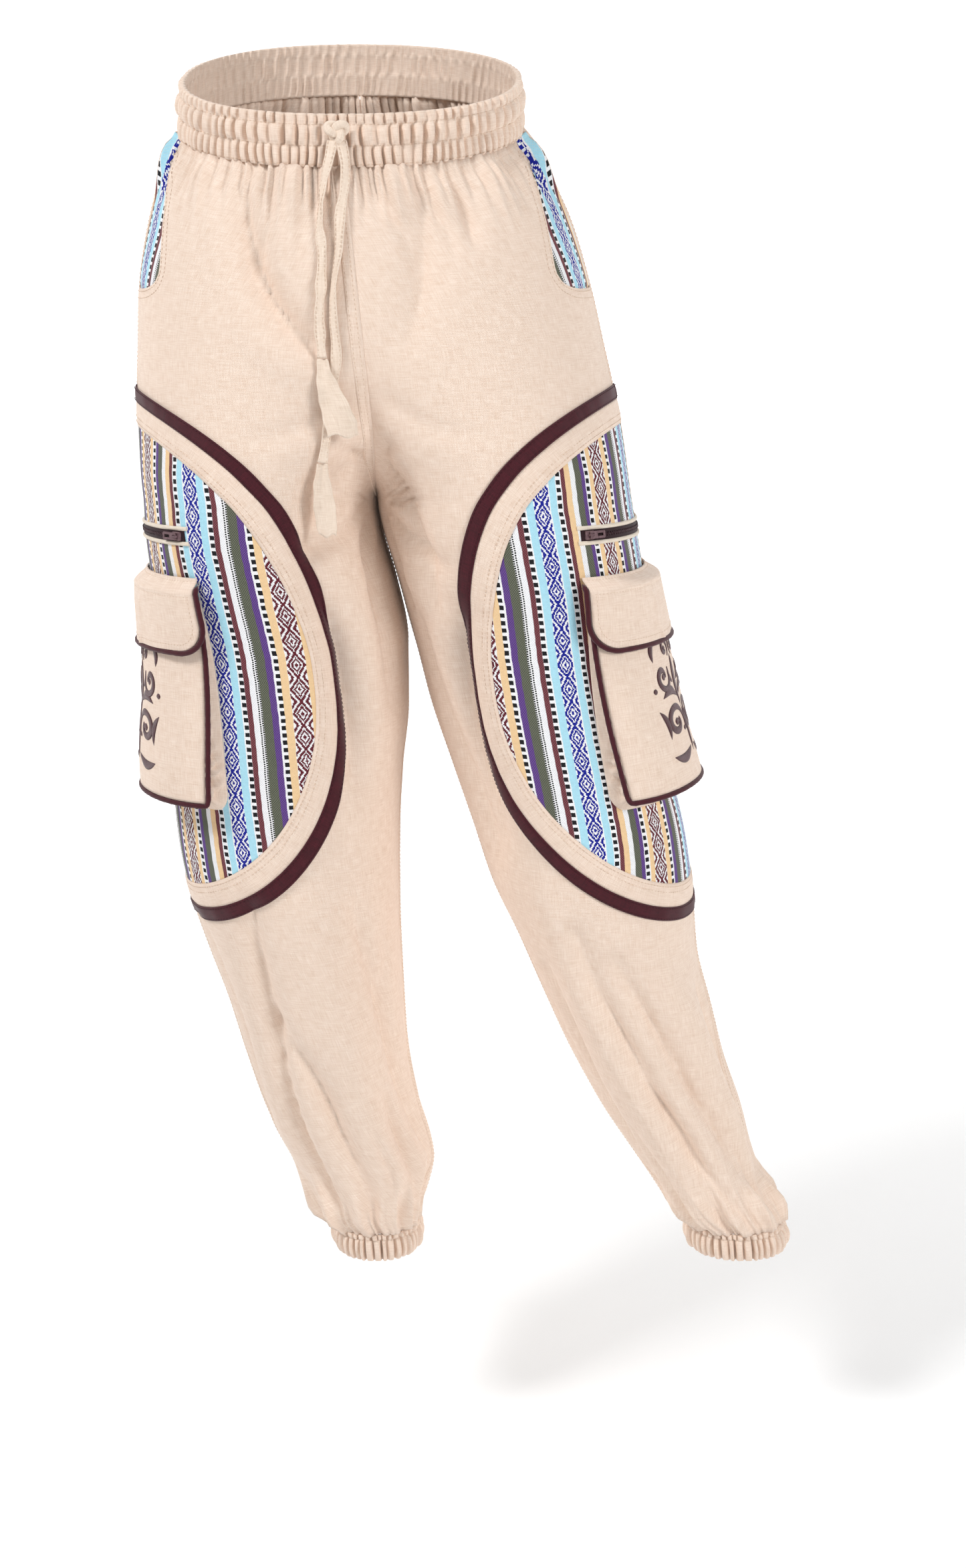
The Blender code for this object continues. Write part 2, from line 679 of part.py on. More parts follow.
def cut_rectangle(x, y, cut):
    """A rectangle's outline with its corners cut off."""
    return [
        (x[0] + cut, y[0]), (x[1] - cut, y[0]), (x[1], y[0] + cut), (x[1], y[1] - cut),
        (x[1] - cut, y[1]), (x[0] + cut, y[1]), (x[0], y[1] - cut), (x[0], y[0] + cut),
    ]


def zip_slider(side):
    """The slider's body with the bridge that holds the pull tab, in one piece."""
    top = SLIDER_BASE + SLIDER_BODY[2]
    place = slider_frame(side, top)
    bpy.ops.mesh.primitive_cube_add(size=1.0)
    body = bpy.context.object
    body.name = side + "_zip_slider"
    body.data.name = body.name
    for vertex in body.data.vertices:
        vertex.co.x = vertex.co.x * SLIDER_BODY[0] + 0.0009
        vertex.co.y *= SLIDER_BODY[1]
        vertex.co.z = (vertex.co.z - 0.5) * SLIDER_BODY[2]
    for home in list(body.users_collection):
        home.objects.unlink(body)
    parts.objects.link(body)
    body.matrix_world = place
    body.data.materials.append(METAL)
    soften = body.modifiers.new("rounded_edges", "BEVEL")
    soften.width = 0.0006
    soften.segments = 1
    half = BRIDGE_WIDTH / 2
    count = len(BRIDGE_PROFILE)
    shape = bmesh.new()
    near = [shape.verts.new((x / 1000, -half, z / 1000)) for x, z in BRIDGE_PROFILE]
    far = [shape.verts.new((x / 1000, half, z / 1000)) for x, z in BRIDGE_PROFILE]
    shape.faces.new(near)
    shape.faces.new(far[::-1])
    for i in range(count):
        j = (i + 1) % count
        shape.faces.new((near[j], near[i], far[i], far[j]))
    bmesh.ops.recalc_face_normals(shape, faces=shape.faces)
    data = bpy.data.meshes.new(side + "_bridge")
    shape.to_mesh(data)
    shape.free()
    bridge = bpy.data.objects.new(side + "_bridge", data)
    bridge.hide_render = True
    bridge.display_type = "WIRE"
    bridge.matrix_world = place
    cutters.objects.link(bridge)
    union = body.modifiers.new("bridge", "BOOLEAN")
    union.operation = "UNION"
    union.object = bridge


def pull_tab(side):
    """The pull tab, lying back along the zip, with its origin on the bar that turns in the bridge."""
    data = bpy.data.curves.new(side + "_pull_tab", "CURVE")
    data.dimensions = "2D"
    data.fill_mode = "BOTH"
    data.extrude = TAB_THICKNESS / 2
    half = TAB_WIDTH / 2
    eye = BRIDGE_WIDTH / 2 + 0.00035
    outline(data, cut_rectangle((-TAB_BAR, TAB_LENGTH), (-half, half), 0.0009))
    outline(data, rectangle((TAB_BAR, 0.0034), (-eye, eye)))
    outline(data, rectangle((0.0070, 0.0128), (-0.0011, 0.0011)))
    made = bpy.data.objects.new(side + "_pull_tab", data)
    made.data.materials.append(METAL)
    parts.objects.link(made)
    made.matrix_world = slider_frame(side, SLIDER_BASE + SLIDER_BODY[2] + HINGE_RISE)


def zip_pocket(side):
    chain = (ZIP_HEIGHT - ZIP_HALF, ZIP_HEIGHT + ZIP_HALF)
    tape = (SECOND_LAYER[0], SECOND_LAYER[1] - 0.0002)
    sewn_piece(side + "_zip", side, [box_cell(ZIP_ENDS, chain)], *tape, MAROON)
    ends = (ZIP_ENDS[0] - WELT, ZIP_ENDS[1] + WELT)
    upper = (chain[1] + GAP, chain[1] + GAP + WELT)
    lower = (chain[0] - GAP - WELT, chain[0] - GAP)
    sewn_piece(side + "_welt_upper", side, [box_cell(ends, upper)], *SECOND_LAYER, WELTING)
    sewn_piece(side + "_welt_lower", side, [box_cell(ends, lower)], *SECOND_LAYER, WELTING)
    zip_slider(side)
    pull_tab(side)


# ---------------------------------------------------------------- cargo pocket
POCKET_MIDDLE = -0.010  # its middle along
POCKET_HALF = 0.088
POCKET_DRAW = 0.010  # how much nearer its lower corners come, where the bellows stands out
POCKET_HEIGHTS = (0.752, 0.594)
POCKET_LIFT = (0.0070, 0.0165)  # how far its edge stands off the cloth, at the mouth and at the bottom
POCKET_CROWN = (0.0045, 0.0125)  # how much further its middle stands off, at the mouth and at the bottom
POCKET_WALL = 0.0012
PIPING = 0.0020  # radius
FLAP_HEIGHTS = (0.764, 0.711)
FLAP_HALF = 0.091
FLAP_CORNER = 0.021
FLAP_WALL = 0.0016
FLAP_CLEAR = 0.0047  # from the pocket's middle layer to the flap's
FLAP_SEAM_LIFT = 0.0028
FLAP_RISE = 0.0100  # how far below its seam the flap reaches its full lift


def pocket_edge(down):
    """Half width of the pocket at a share of the way down."""
    return POCKET_HALF - POCKET_DRAW * down


def pocket_lift(across, height):
    """How far the pocket's front stands off: across from -1 to 1."""
    down = np.clip((POCKET_HEIGHTS[0] - height) / (POCKET_HEIGHTS[0] - POCKET_HEIGHTS[1]), 0, 1)
    edge = POCKET_LIFT[0] + (POCKET_LIFT[1] - POCKET_LIFT[0]) * down
    crown = (1 - np.clip(np.abs(across), 0, 1) ** 2) * (0.4 + 0.6 * np.sin(math.pi * down * 0.8))
    return edge + (POCKET_CROWN[0] + (POCKET_CROWN[1] - POCKET_CROWN[0]) * down) * crown


def pocket_front(side):
    across, down = np.meshgrid(np.linspace(-1, 1, 10), np.linspace(0, 1, 7))
    height = POCKET_HEIGHTS[0] + (POCKET_HEIGHTS[1] - POCKET_HEIGHTS[0]) * down
    along = POCKET_MIDDLE + across * pocket_edge(down)
    points = lifted(side, along, height, pocket_lift(across, height))
    grid_wall(side + "_pocket", points, POCKET_WALL, COTTON)


def pocket_outline(steps_down, steps_across):
    """The pocket's outline from the mouth's front end, down, across and up, as (across, down) with the
    outward direction along and in height."""
    down = np.linspace(0.03, 1, steps_down)
    across = np.linspace(-1, 1, steps_across)[1:-1]
    rows = [(-1, d, -1, 0) for d in down[:-1]]
    rows.append((-1, 1, -0.75, -0.75))
    rows += [(a, 1, 0, -1) for a in across]
    rows.append((1, 1, 0.75, -0.75))
    rows += [(1, d, 1, 0) for d in down[-2::-1]]
    return np.array(rows, float)


def outline_point(side, rows, outset, lift):
    """Points off the pocket's outline, moved out in the cloth's plane, at a lift."""
    down = rows[:, 1]
    along = POCKET_MIDDLE + rows[:, 0] * pocket_edge(down) + rows[:, 2] * outset
    height = POCKET_HEIGHTS[0] + (POCKET_HEIGHTS[1] - POCKET_HEIGHTS[0]) * down + rows[:, 3] * outset
    return lifted(side, along, height, lift)


def pocket_bellows(side):
    """The strip from the cloth out to the underside of the pocket's front."""
    rows = pocket_outline(8, 9)
    height = POCKET_HEIGHTS[0] + (POCKET_HEIGHTS[1] - POCKET_HEIGHTS[0]) * rows[:, 1]
    top_lift = pocket_lift(rows[:, 0], height) - POCKET_WALL / 2 - GAP - 0.0006
    foot_lift = 0.0029
    foot_out = POCKET_DRAW * rows[:, 1] * 0.9
    points = np.stack([
        outline_point(side, rows, -0.0016, top_lift),
        outline_point(side, rows, foot_out * 0.55 + 0.0012, (top_lift * 0.45 + foot_lift * 0.55)),
        outline_point(side, rows, foot_out - 0.0008, foot_lift + 0 * top_lift),
    ])
    grid_wall(side + "_bellows", points, 0.0010, COTTON)


def pocket_piping(side):
    rows = pocket_outline(9, 8)
    height = POCKET_HEIGHTS[0] + (POCKET_HEIGHTS[1] - POCKET_HEIGHTS[0]) * rows[:, 1]
    path = outline_point(side, rows, PIPING + 2 * GAP, pocket_lift(rows[:, 0], height))
    tube(side + "_pocket_piping", path, PIPING, MAROON, 1)


def flap_outline(height):
    """Half width of the flap at a height: straight sides, with round lower corners."""
    left = np.clip(height - FLAP_HEIGHTS[1], 0, FLAP_CORNER)
    return FLAP_HALF - FLAP_CORNER + np.sqrt(np.maximum(FLAP_CORNER**2 - (FLAP_CORNER - left) ** 2, 0))


def flap_lift(across, height):
    """How far the flap stands off: sewn down at its top edge, and over the pocket's mouth below it."""
    open_part = ease((FLAP_HEIGHTS[0] - height) / FLAP_RISE)
    return FLAP_SEAM_LIFT + (pocket_lift(across, height) + FLAP_CLEAR - FLAP_SEAM_LIFT) * open_part


def flap(side):
    turn = np.linspace(0, math.pi / 2, 5)
    rounded = FLAP_HEIGHTS[1] + FLAP_CORNER * (1 - np.sin(turn[::-1]))[::-1]
    upper = FLAP_HEIGHTS[0] - np.array([0, 0.005, FLAP_RISE, 0.020])
    height = np.concatenate([upper, np.sort(rounded)[::-1]])
    across, height = np.meshgrid(np.linspace(-1, 1, 10), height)
    half = flap_outline(height)
    along = POCKET_MIDDLE + across * half
    points = lifted(side, along, height, flap_lift(across * half / POCKET_HALF, height))
    grid_wall(side + "_flap", points, FLAP_WALL, COTTON)
    edge = [(-1, h) for h in np.linspace(0.7595, FLAP_HEIGHTS[1] + FLAP_CORNER, 4)]
    reach = PIPING + 2 * GAP
    path = [(-FLAP_HALF - reach, h) for _, h in edge]
    for step in np.linspace(0, math.pi / 2, 6)[1:]:
        radius = FLAP_CORNER + reach
        path.append((-(FLAP_HALF - FLAP_CORNER) - radius * math.cos(step),
                     FLAP_HEIGHTS[1] + FLAP_CORNER - radius * math.sin(step)))
    middle = np.linspace(-1, 1, 8)[1:-1] * (FLAP_HALF - FLAP_CORNER)
    below = [(x, FLAP_HEIGHTS[1] - reach) for x in middle]
    path = np.array(path + below + [(-x, h) for x, h in path[::-1]])
    lift = flap_lift(path[:, 0] / POCKET_HALF, path[:, 1])
    points = lifted(side, POCKET_MIDDLE + path[:, 0], path[:, 1], lift)
    tube(side + "_flap_piping", points, PIPING, MAROON, 1)


# ---------------------------------------------------------------- drawstring
CORD_RADIUS = 0.0025
CORD_SPACING = 0.0105
# Each tail from the knot down, X, Y and Z in millimetres.
SHORT_TAIL = (
    (-3.2, -108.6, -29.2), (-5, -109.6, -38), (-7, -110.8, -47), (-11, -113, -66), (-12.5, -116.8, -86),
    (-11, -119.8, -104), (-12, -122.8, -128), (-13.5, -124.6, -150), (-12, -124.6, -178),
)
LONG_TAIL = (
    (3.2, -108.6, -29.2), (5, -109.6, -38), (6, -110.8, -47), (5, -113.4, -62), (2, -116.4, -80),
    (0.5, -120, -104), (-3, -123.2, -130), (-3.5, -124.2, -152), (-2, -123.8, -176),
    (-5, -124.2, -200), (-8.5, -123.6, -224), (-13.5, -122, -252),
)
# The wide raw ends: middle X, Y and Z, half width and turn in degrees at each level.
END_COLUMNS = ("x", "y", "z", "half", "turn")
SHORT_END = ((-12, -125.6, -178.5, 3.5, -4), (-10.5, -128.6, -188, 5.5, -8), (-7, -130, -200, 8.5, 6),
             (-3, -130, -212, 11, -8), (0.5, -129.4, -223, 12, 0), (2.5, -128, -233, 11, 10))
LONG_END = ((-13.6, -122.9, -252.5, 3.5, 0), (-14, -122.6, -266, 6, 14), (-13, -122, -279, 8, 22),
            (-12, -121.5, -292, 8, 6), (-11, -121, -305, 6.5, -10))
END_WALL = 0.0012
KNOT = (0.0, -0.1086, -0.0225)  # its middle, just in front of the waistband


def smooth_path(route, spacing):
    """Points at even spacing on a smooth curve through a route's own points."""
    route = np.array(route, float) / 1000
    padded = np.concatenate([[2 * route[0] - route[1]], route, [2 * route[-1] - route[-2]]])
    fine = []
    for a, b, c, d in zip(padded, padded[1:], padded[2:], padded[3:]):
        for u in np.linspace(0, 1, 24, endpoint=False):
            bend = (2 * a - 5 * b + 4 * c - d) * u**2 + (3 * b - a - 3 * c + d) * u**3
            fine.append(0.5 * (2 * b + (c - a) * u + bend))
    fine = np.array(fine + [route[-1]])
    travelled = np.concatenate([[0], np.cumsum(np.linalg.norm(np.diff(fine, axis=0), axis=1))])
    places = np.linspace(0, travelled[-1], int(travelled[-1] / spacing) + 1)
    return np.stack([np.interp(places, travelled, fine[:, i]) for i in range(3)], axis=-1)


def wide_end(name, rows):
    """The open raw end of the tape: a small curled sheet."""
    across = np.linspace(-1, 1, 4)
    points = []
    for row in rows:
        at = dict(zip(END_COLUMNS, row))
        turn = math.radians(at["turn"])
        x = at["x"] + across * at["half"] * math.cos(turn)
        y = at["y"] + across * at["half"] * math.sin(turn) + 1.2 * (1 - across**2)
        points.append(np.stack([x, y, np.full(4, at["z"])], axis=-1) / 1000)
    grid_wall(name, np.array(points), END_WALL, TAPE)


def drawstring():
    tube("drawstring_short", smooth_path(SHORT_TAIL, CORD_SPACING), CORD_RADIUS, TAPE)
    tube("drawstring_long", smooth_path(LONG_TAIL, CORD_SPACING), CORD_RADIUS, TAPE)
    wide_end("end_short", SHORT_END)
    wide_end("end_long", LONG_END)
    bpy.ops.mesh.primitive_uv_sphere_add(segments=12, ring_count=8, radius=1.0)
    knot = bpy.context.object
    knot.name = "drawstring_knot"
    knot.data.name = knot.name
    for vertex in knot.data.vertices:
        vertex.co.x *= 0.0080
        vertex.co.y *= 0.0046
        vertex.co.z *= 0.0062
    for home in list(knot.users_collection):
        home.objects.unlink(knot)
    parts.objects.link(knot)
    knot.location = KNOT
    knot.data.materials.append(TAPE)
    knot.data.shade_smooth()


gathered_ring("waistband", around_waist, WAISTBAND_ROWS, WAIST_WAVES, WAISTBAND_WALL, COTTON)
for leg in SIDES:
    leg_panels(leg)
    oval_pieces(leg)
    zip_pocket(leg)
    pocket_front(leg)
    pocket_bellows(leg)
    pocket_piping(leg)
    flap(leg)
    gathered_ring(leg + "_cuff", around_cuff(leg), CUFF_ROWS, CUFF_WAVES, CUFF_WALL, COTTON)
drawstring()
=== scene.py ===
"""Embroidered cotton trousers in their worn form: baggy, open at the waist and at the gathered cuffs.

Metres, +Z up, the wearer faces -Y, and the origin is the middle of the waist. Right and left are the
wearer's. A place on a leg is (along, height): along runs round the leg from the side seam, negative to
the front, and height is measured from the ground.
"""

import math

import bpy
import numpy as np
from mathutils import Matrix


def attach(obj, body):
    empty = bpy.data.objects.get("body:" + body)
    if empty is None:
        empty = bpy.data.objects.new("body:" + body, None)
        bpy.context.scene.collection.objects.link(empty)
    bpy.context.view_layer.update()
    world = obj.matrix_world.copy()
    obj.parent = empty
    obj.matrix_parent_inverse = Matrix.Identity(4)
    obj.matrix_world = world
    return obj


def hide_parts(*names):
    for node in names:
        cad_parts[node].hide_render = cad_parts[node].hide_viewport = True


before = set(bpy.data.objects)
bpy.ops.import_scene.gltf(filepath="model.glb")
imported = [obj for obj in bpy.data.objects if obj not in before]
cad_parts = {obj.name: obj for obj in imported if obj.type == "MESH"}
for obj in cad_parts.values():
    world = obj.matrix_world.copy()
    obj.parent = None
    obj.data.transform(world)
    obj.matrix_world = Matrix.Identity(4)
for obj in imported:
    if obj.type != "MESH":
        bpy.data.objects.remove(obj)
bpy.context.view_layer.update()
scene = bpy.context.scene

# ---------------------------------------------------------------- camera, room and light
# A white studio: a paper sheet that runs from the floor up into the background and glows with painted
# light of its own, more towards the back, and two large soft lights. The camera stands at hip height and
# looks a little down.
CAMERA_PLACE = (0.103, -1.43, -0.18)
CAMERA_TILT = math.radians(76.6)
LENS = 40.76
FLOOR = -1.1006
BACK_GLOW = 0.6
SKY_GLOW = 0.34

camera_data = bpy.data.cameras.new("camera")
camera_data.lens = LENS
camera_data.sensor_width = 36.0
camera_data.sensor_fit = "AUTO"
camera = bpy.data.objects.new("camera", camera_data)
camera.location = CAMERA_PLACE
camera.rotation_euler = (CAMERA_TILT, 0, 0)
scene.collection.objects.link(camera)
scene.camera = camera


def feed(tree, slot, value):
    """Gives a socket a value, or links another socket to it."""
    value = getattr(value, "socket", value)
    if isinstance(value, bpy.types.NodeSocket):
        tree.links.new(value, slot)
    else:
        slot.default_value = value


def node(tree, kind, inputs=(), **options):
    """A shader node with its options set and its inputs fed."""
    made = tree.nodes.new("ShaderNode" + kind)
    for name, value in options.items():
        setattr(made, name, value)
    for slot, value in dict(inputs).items():
        feed(tree, made.inputs[slot], value)
    return made


def material(name, inputs):
    """A new material, its node tree and its shader, with the shader's inputs fed."""
    made = bpy.data.materials.new(name)
    made.use_nodes = True
    shader = made.node_tree.nodes["Principled BSDF"]
    for slot, value in inputs.items():
        feed(made.node_tree, shader.inputs[slot], value)
    return made, made.node_tree, shader


# The sheet's line from front to back: flat, then a quarter circle up to a wall.
SHEET_REACH = 7.0  # in front of the origin, and to each side
SHEET_BEND = 1.4
WALL = 3.0
WALL_TOP = 6.0
bend = np.linspace(0, math.pi / 2, 25)
sheet_line = [(-SHEET_REACH, FLOOR)]
sheet_line += [(WALL - SHEET_BEND * (1 - math.sin(t)), FLOOR + SHEET_BEND * (1 - math.cos(t))) for t in bend]
sheet_line += [(WALL, WALL_TOP)]
backdrop_mesh = bpy.data.meshes.new("studio_backdrop")
backdrop_mesh.from_pydata(
    [(x, y, z) for y, z in sheet_line for x in (-SHEET_REACH, SHEET_REACH)], [],
    [(2 * k, 2 * k + 1, 2 * k + 3, 2 * k + 2) for k in range(len(sheet_line) - 1)])
backdrop_mesh.shade_smooth()
backdrop = bpy.data.objects.new("studio_backdrop", backdrop_mesh)
scene.collection.objects.link(backdrop)
paper, tree, shader = material(
    "glowing_white_paper", {"Base Color": (0.93, 0.93, 0.93, 1.0), "Roughness": 0.8, "Emission Strength": 1.0})
# The paper's emission is painted light: none in front of the garment, and more and more towards the back.
split = node(tree, "SeparateXYZ", {0: node(tree, "TexCoord").outputs["Object"]})
glow = node(tree, "MapRange", {
    "Value": split.outputs["Y"], "From Min": -0.4, "From Max": 2.6, "To Min": 0.0, "To Max": BACK_GLOW})
feed(tree, shader.inputs["Emission Color"], glow.outputs["Result"])
backdrop_mesh.materials.append(paper)

world = bpy.data.worlds.new("studio")
world.use_nodes = True
world.node_tree.nodes["Background"].inputs["Color"].default_value = (1.0, 1.0, 1.0, 1.0)
world.node_tree.nodes["Background"].inputs["Strength"].default_value = SKY_GLOW
scene.world = world
scene.view_settings.view_transform = "Standard"


def soft_light(name, place, aim, size, watts):
    """A square softbox that faces a point."""
    data = bpy.data.lights.new(name, "AREA")
    data.size = size
    data.energy = watts
    made = bpy.data.objects.new(name, data)
    made.location = place
    toward = np.array(aim, float) - np.array(place, float)
    across = math.hypot(toward[0], toward[1])
    made.rotation_euler = (math.atan2(across, -toward[2]), 0, math.atan2(toward[1], toward[0]) - math.pi / 2)
    scene.collection.objects.link(made)


soft_light("key_light", (-1.9, -1.3, 1.9), aim=(0.1, 0, -0.5), size=0.8, watts=64)
soft_light("side_light", (2.2, -2.0, 0.5), aim=(0.1, 0, -0.6), size=0.9, watts=40)

# ---------------------------------------------------------------- drawstring
# A stitched cotton tape that comes out of the waistband's middle channel, tied once in front. Its two
# tails hang free. Their last five centimetres were never sewn shut, so each opens into a wide raw end.
TAPE_WIDTH = 0.0074
TAPE_THICK = 0.0017
TAPE_RING = 16  # points round a tape
TAPE_STEP = 0.0015  # along a tail's mesh
TAPE_SEWING = 0.34  # of its rows from the middle, as a share of the width
END_WALL = 0.0008
# Each tail from the knot down, X, Y and Z in millimetres.
SHORT_TAIL = (
    (-3.2, -108.6, -29.2), (-5, -109.6, -38), (-7, -110.8, -47), (-11, -113, -66), (-12.5, -116.8, -86),
    (-11, -119.8, -104), (-12, -122.8, -128), (-13.5, -124.6, -150), (-12, -124.6, -178),
)
LONG_TAIL = (
    (3.2, -108.6, -29.2), (5, -109.6, -38), (6, -110.8, -47), (5, -113.4, -62), (2, -116.4, -80),
    (0.5, -120, -104), (-3, -123.2, -130), (-3.5, -124.2, -152), (-2, -123.8, -176), (-5, -124.2, -200),
    (-8.5, -123.6, -224), (-13.5, -122, -252),
)
# The wide raw ends: middle X, Y and Z, half width and turn in degrees at each level.
SHORT_END = ((-12, -125.6, -178.5, 3.5, -4), (-10.5, -128.6, -188, 5.5, -8), (-7, -130, -200, 8.5, 6),
             (-3, -130, -212, 11, -8), (0.5, -129.4, -223, 12, 0), (2.5, -128, -233, 11, 10))
LONG_END = ((-13.6, -122.9, -252.5, 3.5, 0), (-14, -122.6, -266, 6, 14), (-13, -122, -279, 8, 22),
            (-12, -121.5, -292, 8, 6), (-11, -121, -305, 6.5, -10))
KNOT = (0.0, -0.1086, -0.0225)
KNOT_RING = 12


def paint(red, green, blue):
    """A colour as the eye reads it, 0 to 255, in the renderer's own linear scale."""
    shares = np.array([red, green, blue], float) / 255
    return tuple(np.where(shares <= 0.04045, shares / 12.92, ((shares + 0.055) / 1.055) ** 2.4)) + (1.0,)


class Thread:
    """A number that changes over the cloth, with the arithmetic of shader nodes."""

    def __init__(self, tree, socket):
        self.tree = tree
        self.socket = socket

    def work(self, operation, *others, clamp=False):
        made = node(self.tree, "Math", enumerate((self, *others)), operation=operation, use_clamp=clamp)
        return Thread(self.tree, made.outputs[0])

    def size(self):
        return self.work("ABSOLUTE")

    def floor(self):
        return self.work("FLOOR")

    def near(self, value, reach):
        return (self - value).size().below(reach)

    def clamped(self):
        return self.work("MULTIPLY", 1.0, clamp=True)

    def wave(self, period):
        """From -1 to 1 and back over each period."""
        return (self * (math.tau / period)).work("SINE")


OPERATIONS = {
    "__add__": "ADD", "__sub__": "SUBTRACT", "__mul__": "MULTIPLY", "__truediv__": "DIVIDE",
    "below": "LESS_THAN", "above": "GREATER_THAN", "either": "MAXIMUM", "wrapped": "FLOORED_MODULO",
}
for name, operation in OPERATIONS.items():
    setattr(Thread, name, lambda self, other, operation=operation: self.work(operation, other))


def place_on_cloth(tree):
    """The two numbers of a piece's own cloth map, in metres: across the threads and down them."""
    split = node(tree, "SeparateXYZ", {0: node(tree, "UVMap", uv_map="cloth").outputs["UV"]})
    return Thread(tree, split.outputs["X"]), Thread(tree, split.outputs["Y"])


def cloud(tree, across, down, detail=2.0):
    """Soft random patches, from 0 to 1, in a plane of two numbers."""
    join = node(tree, "CombineXYZ", {"X": across, "Y": down})
    noise = node(tree, "TexNoise", {"Scale": 1.0, "Detail": detail, "Vector": join.outputs[0]})
    return Thread(tree, noise.outputs["Fac"])


def mixed(tree, factor, low, high, **options):
    """A colour between two colours."""
    made = node(tree, "Mix", {"Factor": factor, "A": low, "B": high}, data_type="RGBA", **options)
    return made.outputs["Result"]


def dress(tree, shader, colour, height, strength, distance):
    """Gives a shader its colour and its bump."""
    bump = node(tree, "Bump", {"Strength": strength, "Distance": distance, "Height": height})
    feed(tree, shader.inputs["Base Color"], colour)
    feed(tree, shader.inputs["Normal"], bump.outputs["Normal"])


def node_group(name, inputs, outputs):
    """A group's tree, its inputs, and its outputs' sockets."""
    tree = bpy.data.node_groups.new(name, "ShaderNodeTree")
    for names, way in ((inputs, "INPUT"), (outputs, "OUTPUT")):
        for socket in names:
            kind = "NodeSocketColor" if socket == "Color" else "NodeSocketFloat"
            tree.interface.new_socket(socket, in_out=way, socket_type=kind)
    source = tree.nodes.new("NodeGroupInput")
    given = [Thread(tree, source.outputs[name]) for name in inputs]
    return tree, given, tree.nodes.new("NodeGroupOutput").inputs


# Yarns that pass over and under each other, some of them thick and thin.
weave, (across, down, yarn), weave_out = node_group(
    "plain_weave", ("Across", "Down", "Yarn"), ("Slub", "Height"))
warp, weft = across / yarn, down / yarn
over = (warp * math.pi).work("SINE") * (weft * math.pi).work("SINE")
slub = (cloud(weave, warp * 0.05, weft * 0.9, 1.0) + cloud(weave, warp * 0.9, weft * 0.05 + 7.0, 1.0)) * 0.5
feed(weave, weave_out["Slub"], slub)
feed(weave, weave_out["Height"], over * 0.35 + slub * 1.3)


def woven(name, light, dark, yarn, depth, roughness=0.88, sheen=0.15):
    """A plain cloth: its colour runs between light and dark with its yarns."""
    made, tree, shader = material(name, {
        "Roughness": roughness, "Sheen Weight": sheen, "Sheen Roughness": 0.5, "Specular IOR Level": 0.25})
    across, down = place_on_cloth(tree)
    cloth = node(tree, "Group", {"Across": across, "Down": down, "Yarn": yarn}, node_tree=weave)
    patches = cloud(tree, across * 160.0, down * 160.0)
    tone = (Thread(tree, cloth.outputs["Slub"]) - 0.5) * 2.2 + patches * 0.5 + 0.25
    dress(tree, shader, mixed(tree, tone.clamped(), dark, light), cloth.outputs["Height"], 0.6, depth)
    return made


TAPE = woven("cream_tape", paint(244, 228, 212), paint(222, 200, 180), yarn=0.0006, depth=0.0002)


def shell(name, outer, inner, cloth_map, finish, around=False):
    """A closed thin shell of cloth between two grids of points. cloth_map holds each point's place in the
    flat cloth. A grid that goes all the way round has one more column in its map than in its points."""
    rows, columns = outer.shape[:2]
    count = rows * columns
    across, down = np.arange(columns if around else columns - 1), np.arange(rows - 1)

    def number(place):
        return place[0] * columns + place[1] % columns

    r, c = (grid.ravel() for grid in np.meshgrid(down, across, indexing="ij"))
    corners = [(r, c), (r, c + 1), (r + 1, c + 1), (r + 1, c)]
    front = np.stack([number(corner) for corner in corners], axis=-1)
    cloth = np.stack([cloth_map[corner] for corner in corners], axis=1)
    quads, maps = [front, front[:, ::-1] + count], [cloth, cloth[:, ::-1]]
    rims = [((r + 0 * across, across), (r + 0 * across, across + 1), turn)
            for r, turn in ((0, 1), (rows - 1, -1))]
    if not around:
        rims += [((down, c + 0 * down), (down + 1, c + 0 * down), turn)
                 for c, turn in ((0, -1), (columns - 1, 1))]
    for near, far, turn in rims:
        a, b = number(near), number(far)
        quads.append(np.stack([a, a + count, b + count, b], axis=-1)[:, ::turn])
        maps.append(np.stack([cloth_map[near]] * 2 + [cloth_map[far]] * 2, axis=1)[:, ::turn])
    points = np.concatenate([outer.reshape(-1, 3), inner.reshape(-1, 3)])
    return closed_mesh(name, points, np.concatenate(quads), finish, np.concatenate(maps))


def closed_mesh(name, points, quads, finish, maps=None):
    """A smooth mesh of four-cornered faces that all look outwards."""
    a, b, c, d = (points[quads[:, i]] for i in range(4))
    volume = np.einsum("ij,ij->i", a, np.cross(b, c) + np.cross(c, d)).sum()
    if volume < 0:
        quads = quads[:, ::-1]
        maps = maps[:, ::-1] if maps is not None else None
    mesh = bpy.data.meshes.new(name)
    mesh.vertices.add(len(points))
    mesh.vertices.foreach_set("co", np.ascontiguousarray(points, np.float32).ravel())
    mesh.loops.add(quads.size)
    mesh.loops.foreach_set("vertex_index", np.ascontiguousarray(quads, np.int32).ravel())
    mesh.polygons.add(len(quads))
    mesh.polygons.foreach_set("loop_start", np.arange(0, quads.size, 4, dtype=np.int32))
    mesh.update(calc_edges=True)
    if maps is not None:
        layer = mesh.uv_layers.new(name="cloth")
        layer.data.foreach_set("uv", np.ascontiguousarray(maps, np.float32).ravel())
    mesh.shade_smooth()
    mesh.validate()
    made = bpy.data.objects.new(name, mesh)
    made.data.materials.append(finish)
    scene.collection.objects.link(made)
    return made


def placed(piece, slot, *nodes, body="garment"):
    """Hangs a piece on the garment in the place of its solids."""
    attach(piece, body)
    if nodes:
        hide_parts(*nodes)
    return piece


def unit(ways):
    """The same directions, one unit long."""
    return ways / np.linalg.norm(ways, axis=-1, keepdims=True)


def grid_normals(points, sign=1):
    """The directions square to a grid of points."""
    return unit(np.cross(np.gradient(points, axis=1), np.gradient(points, axis=0)) * sign)


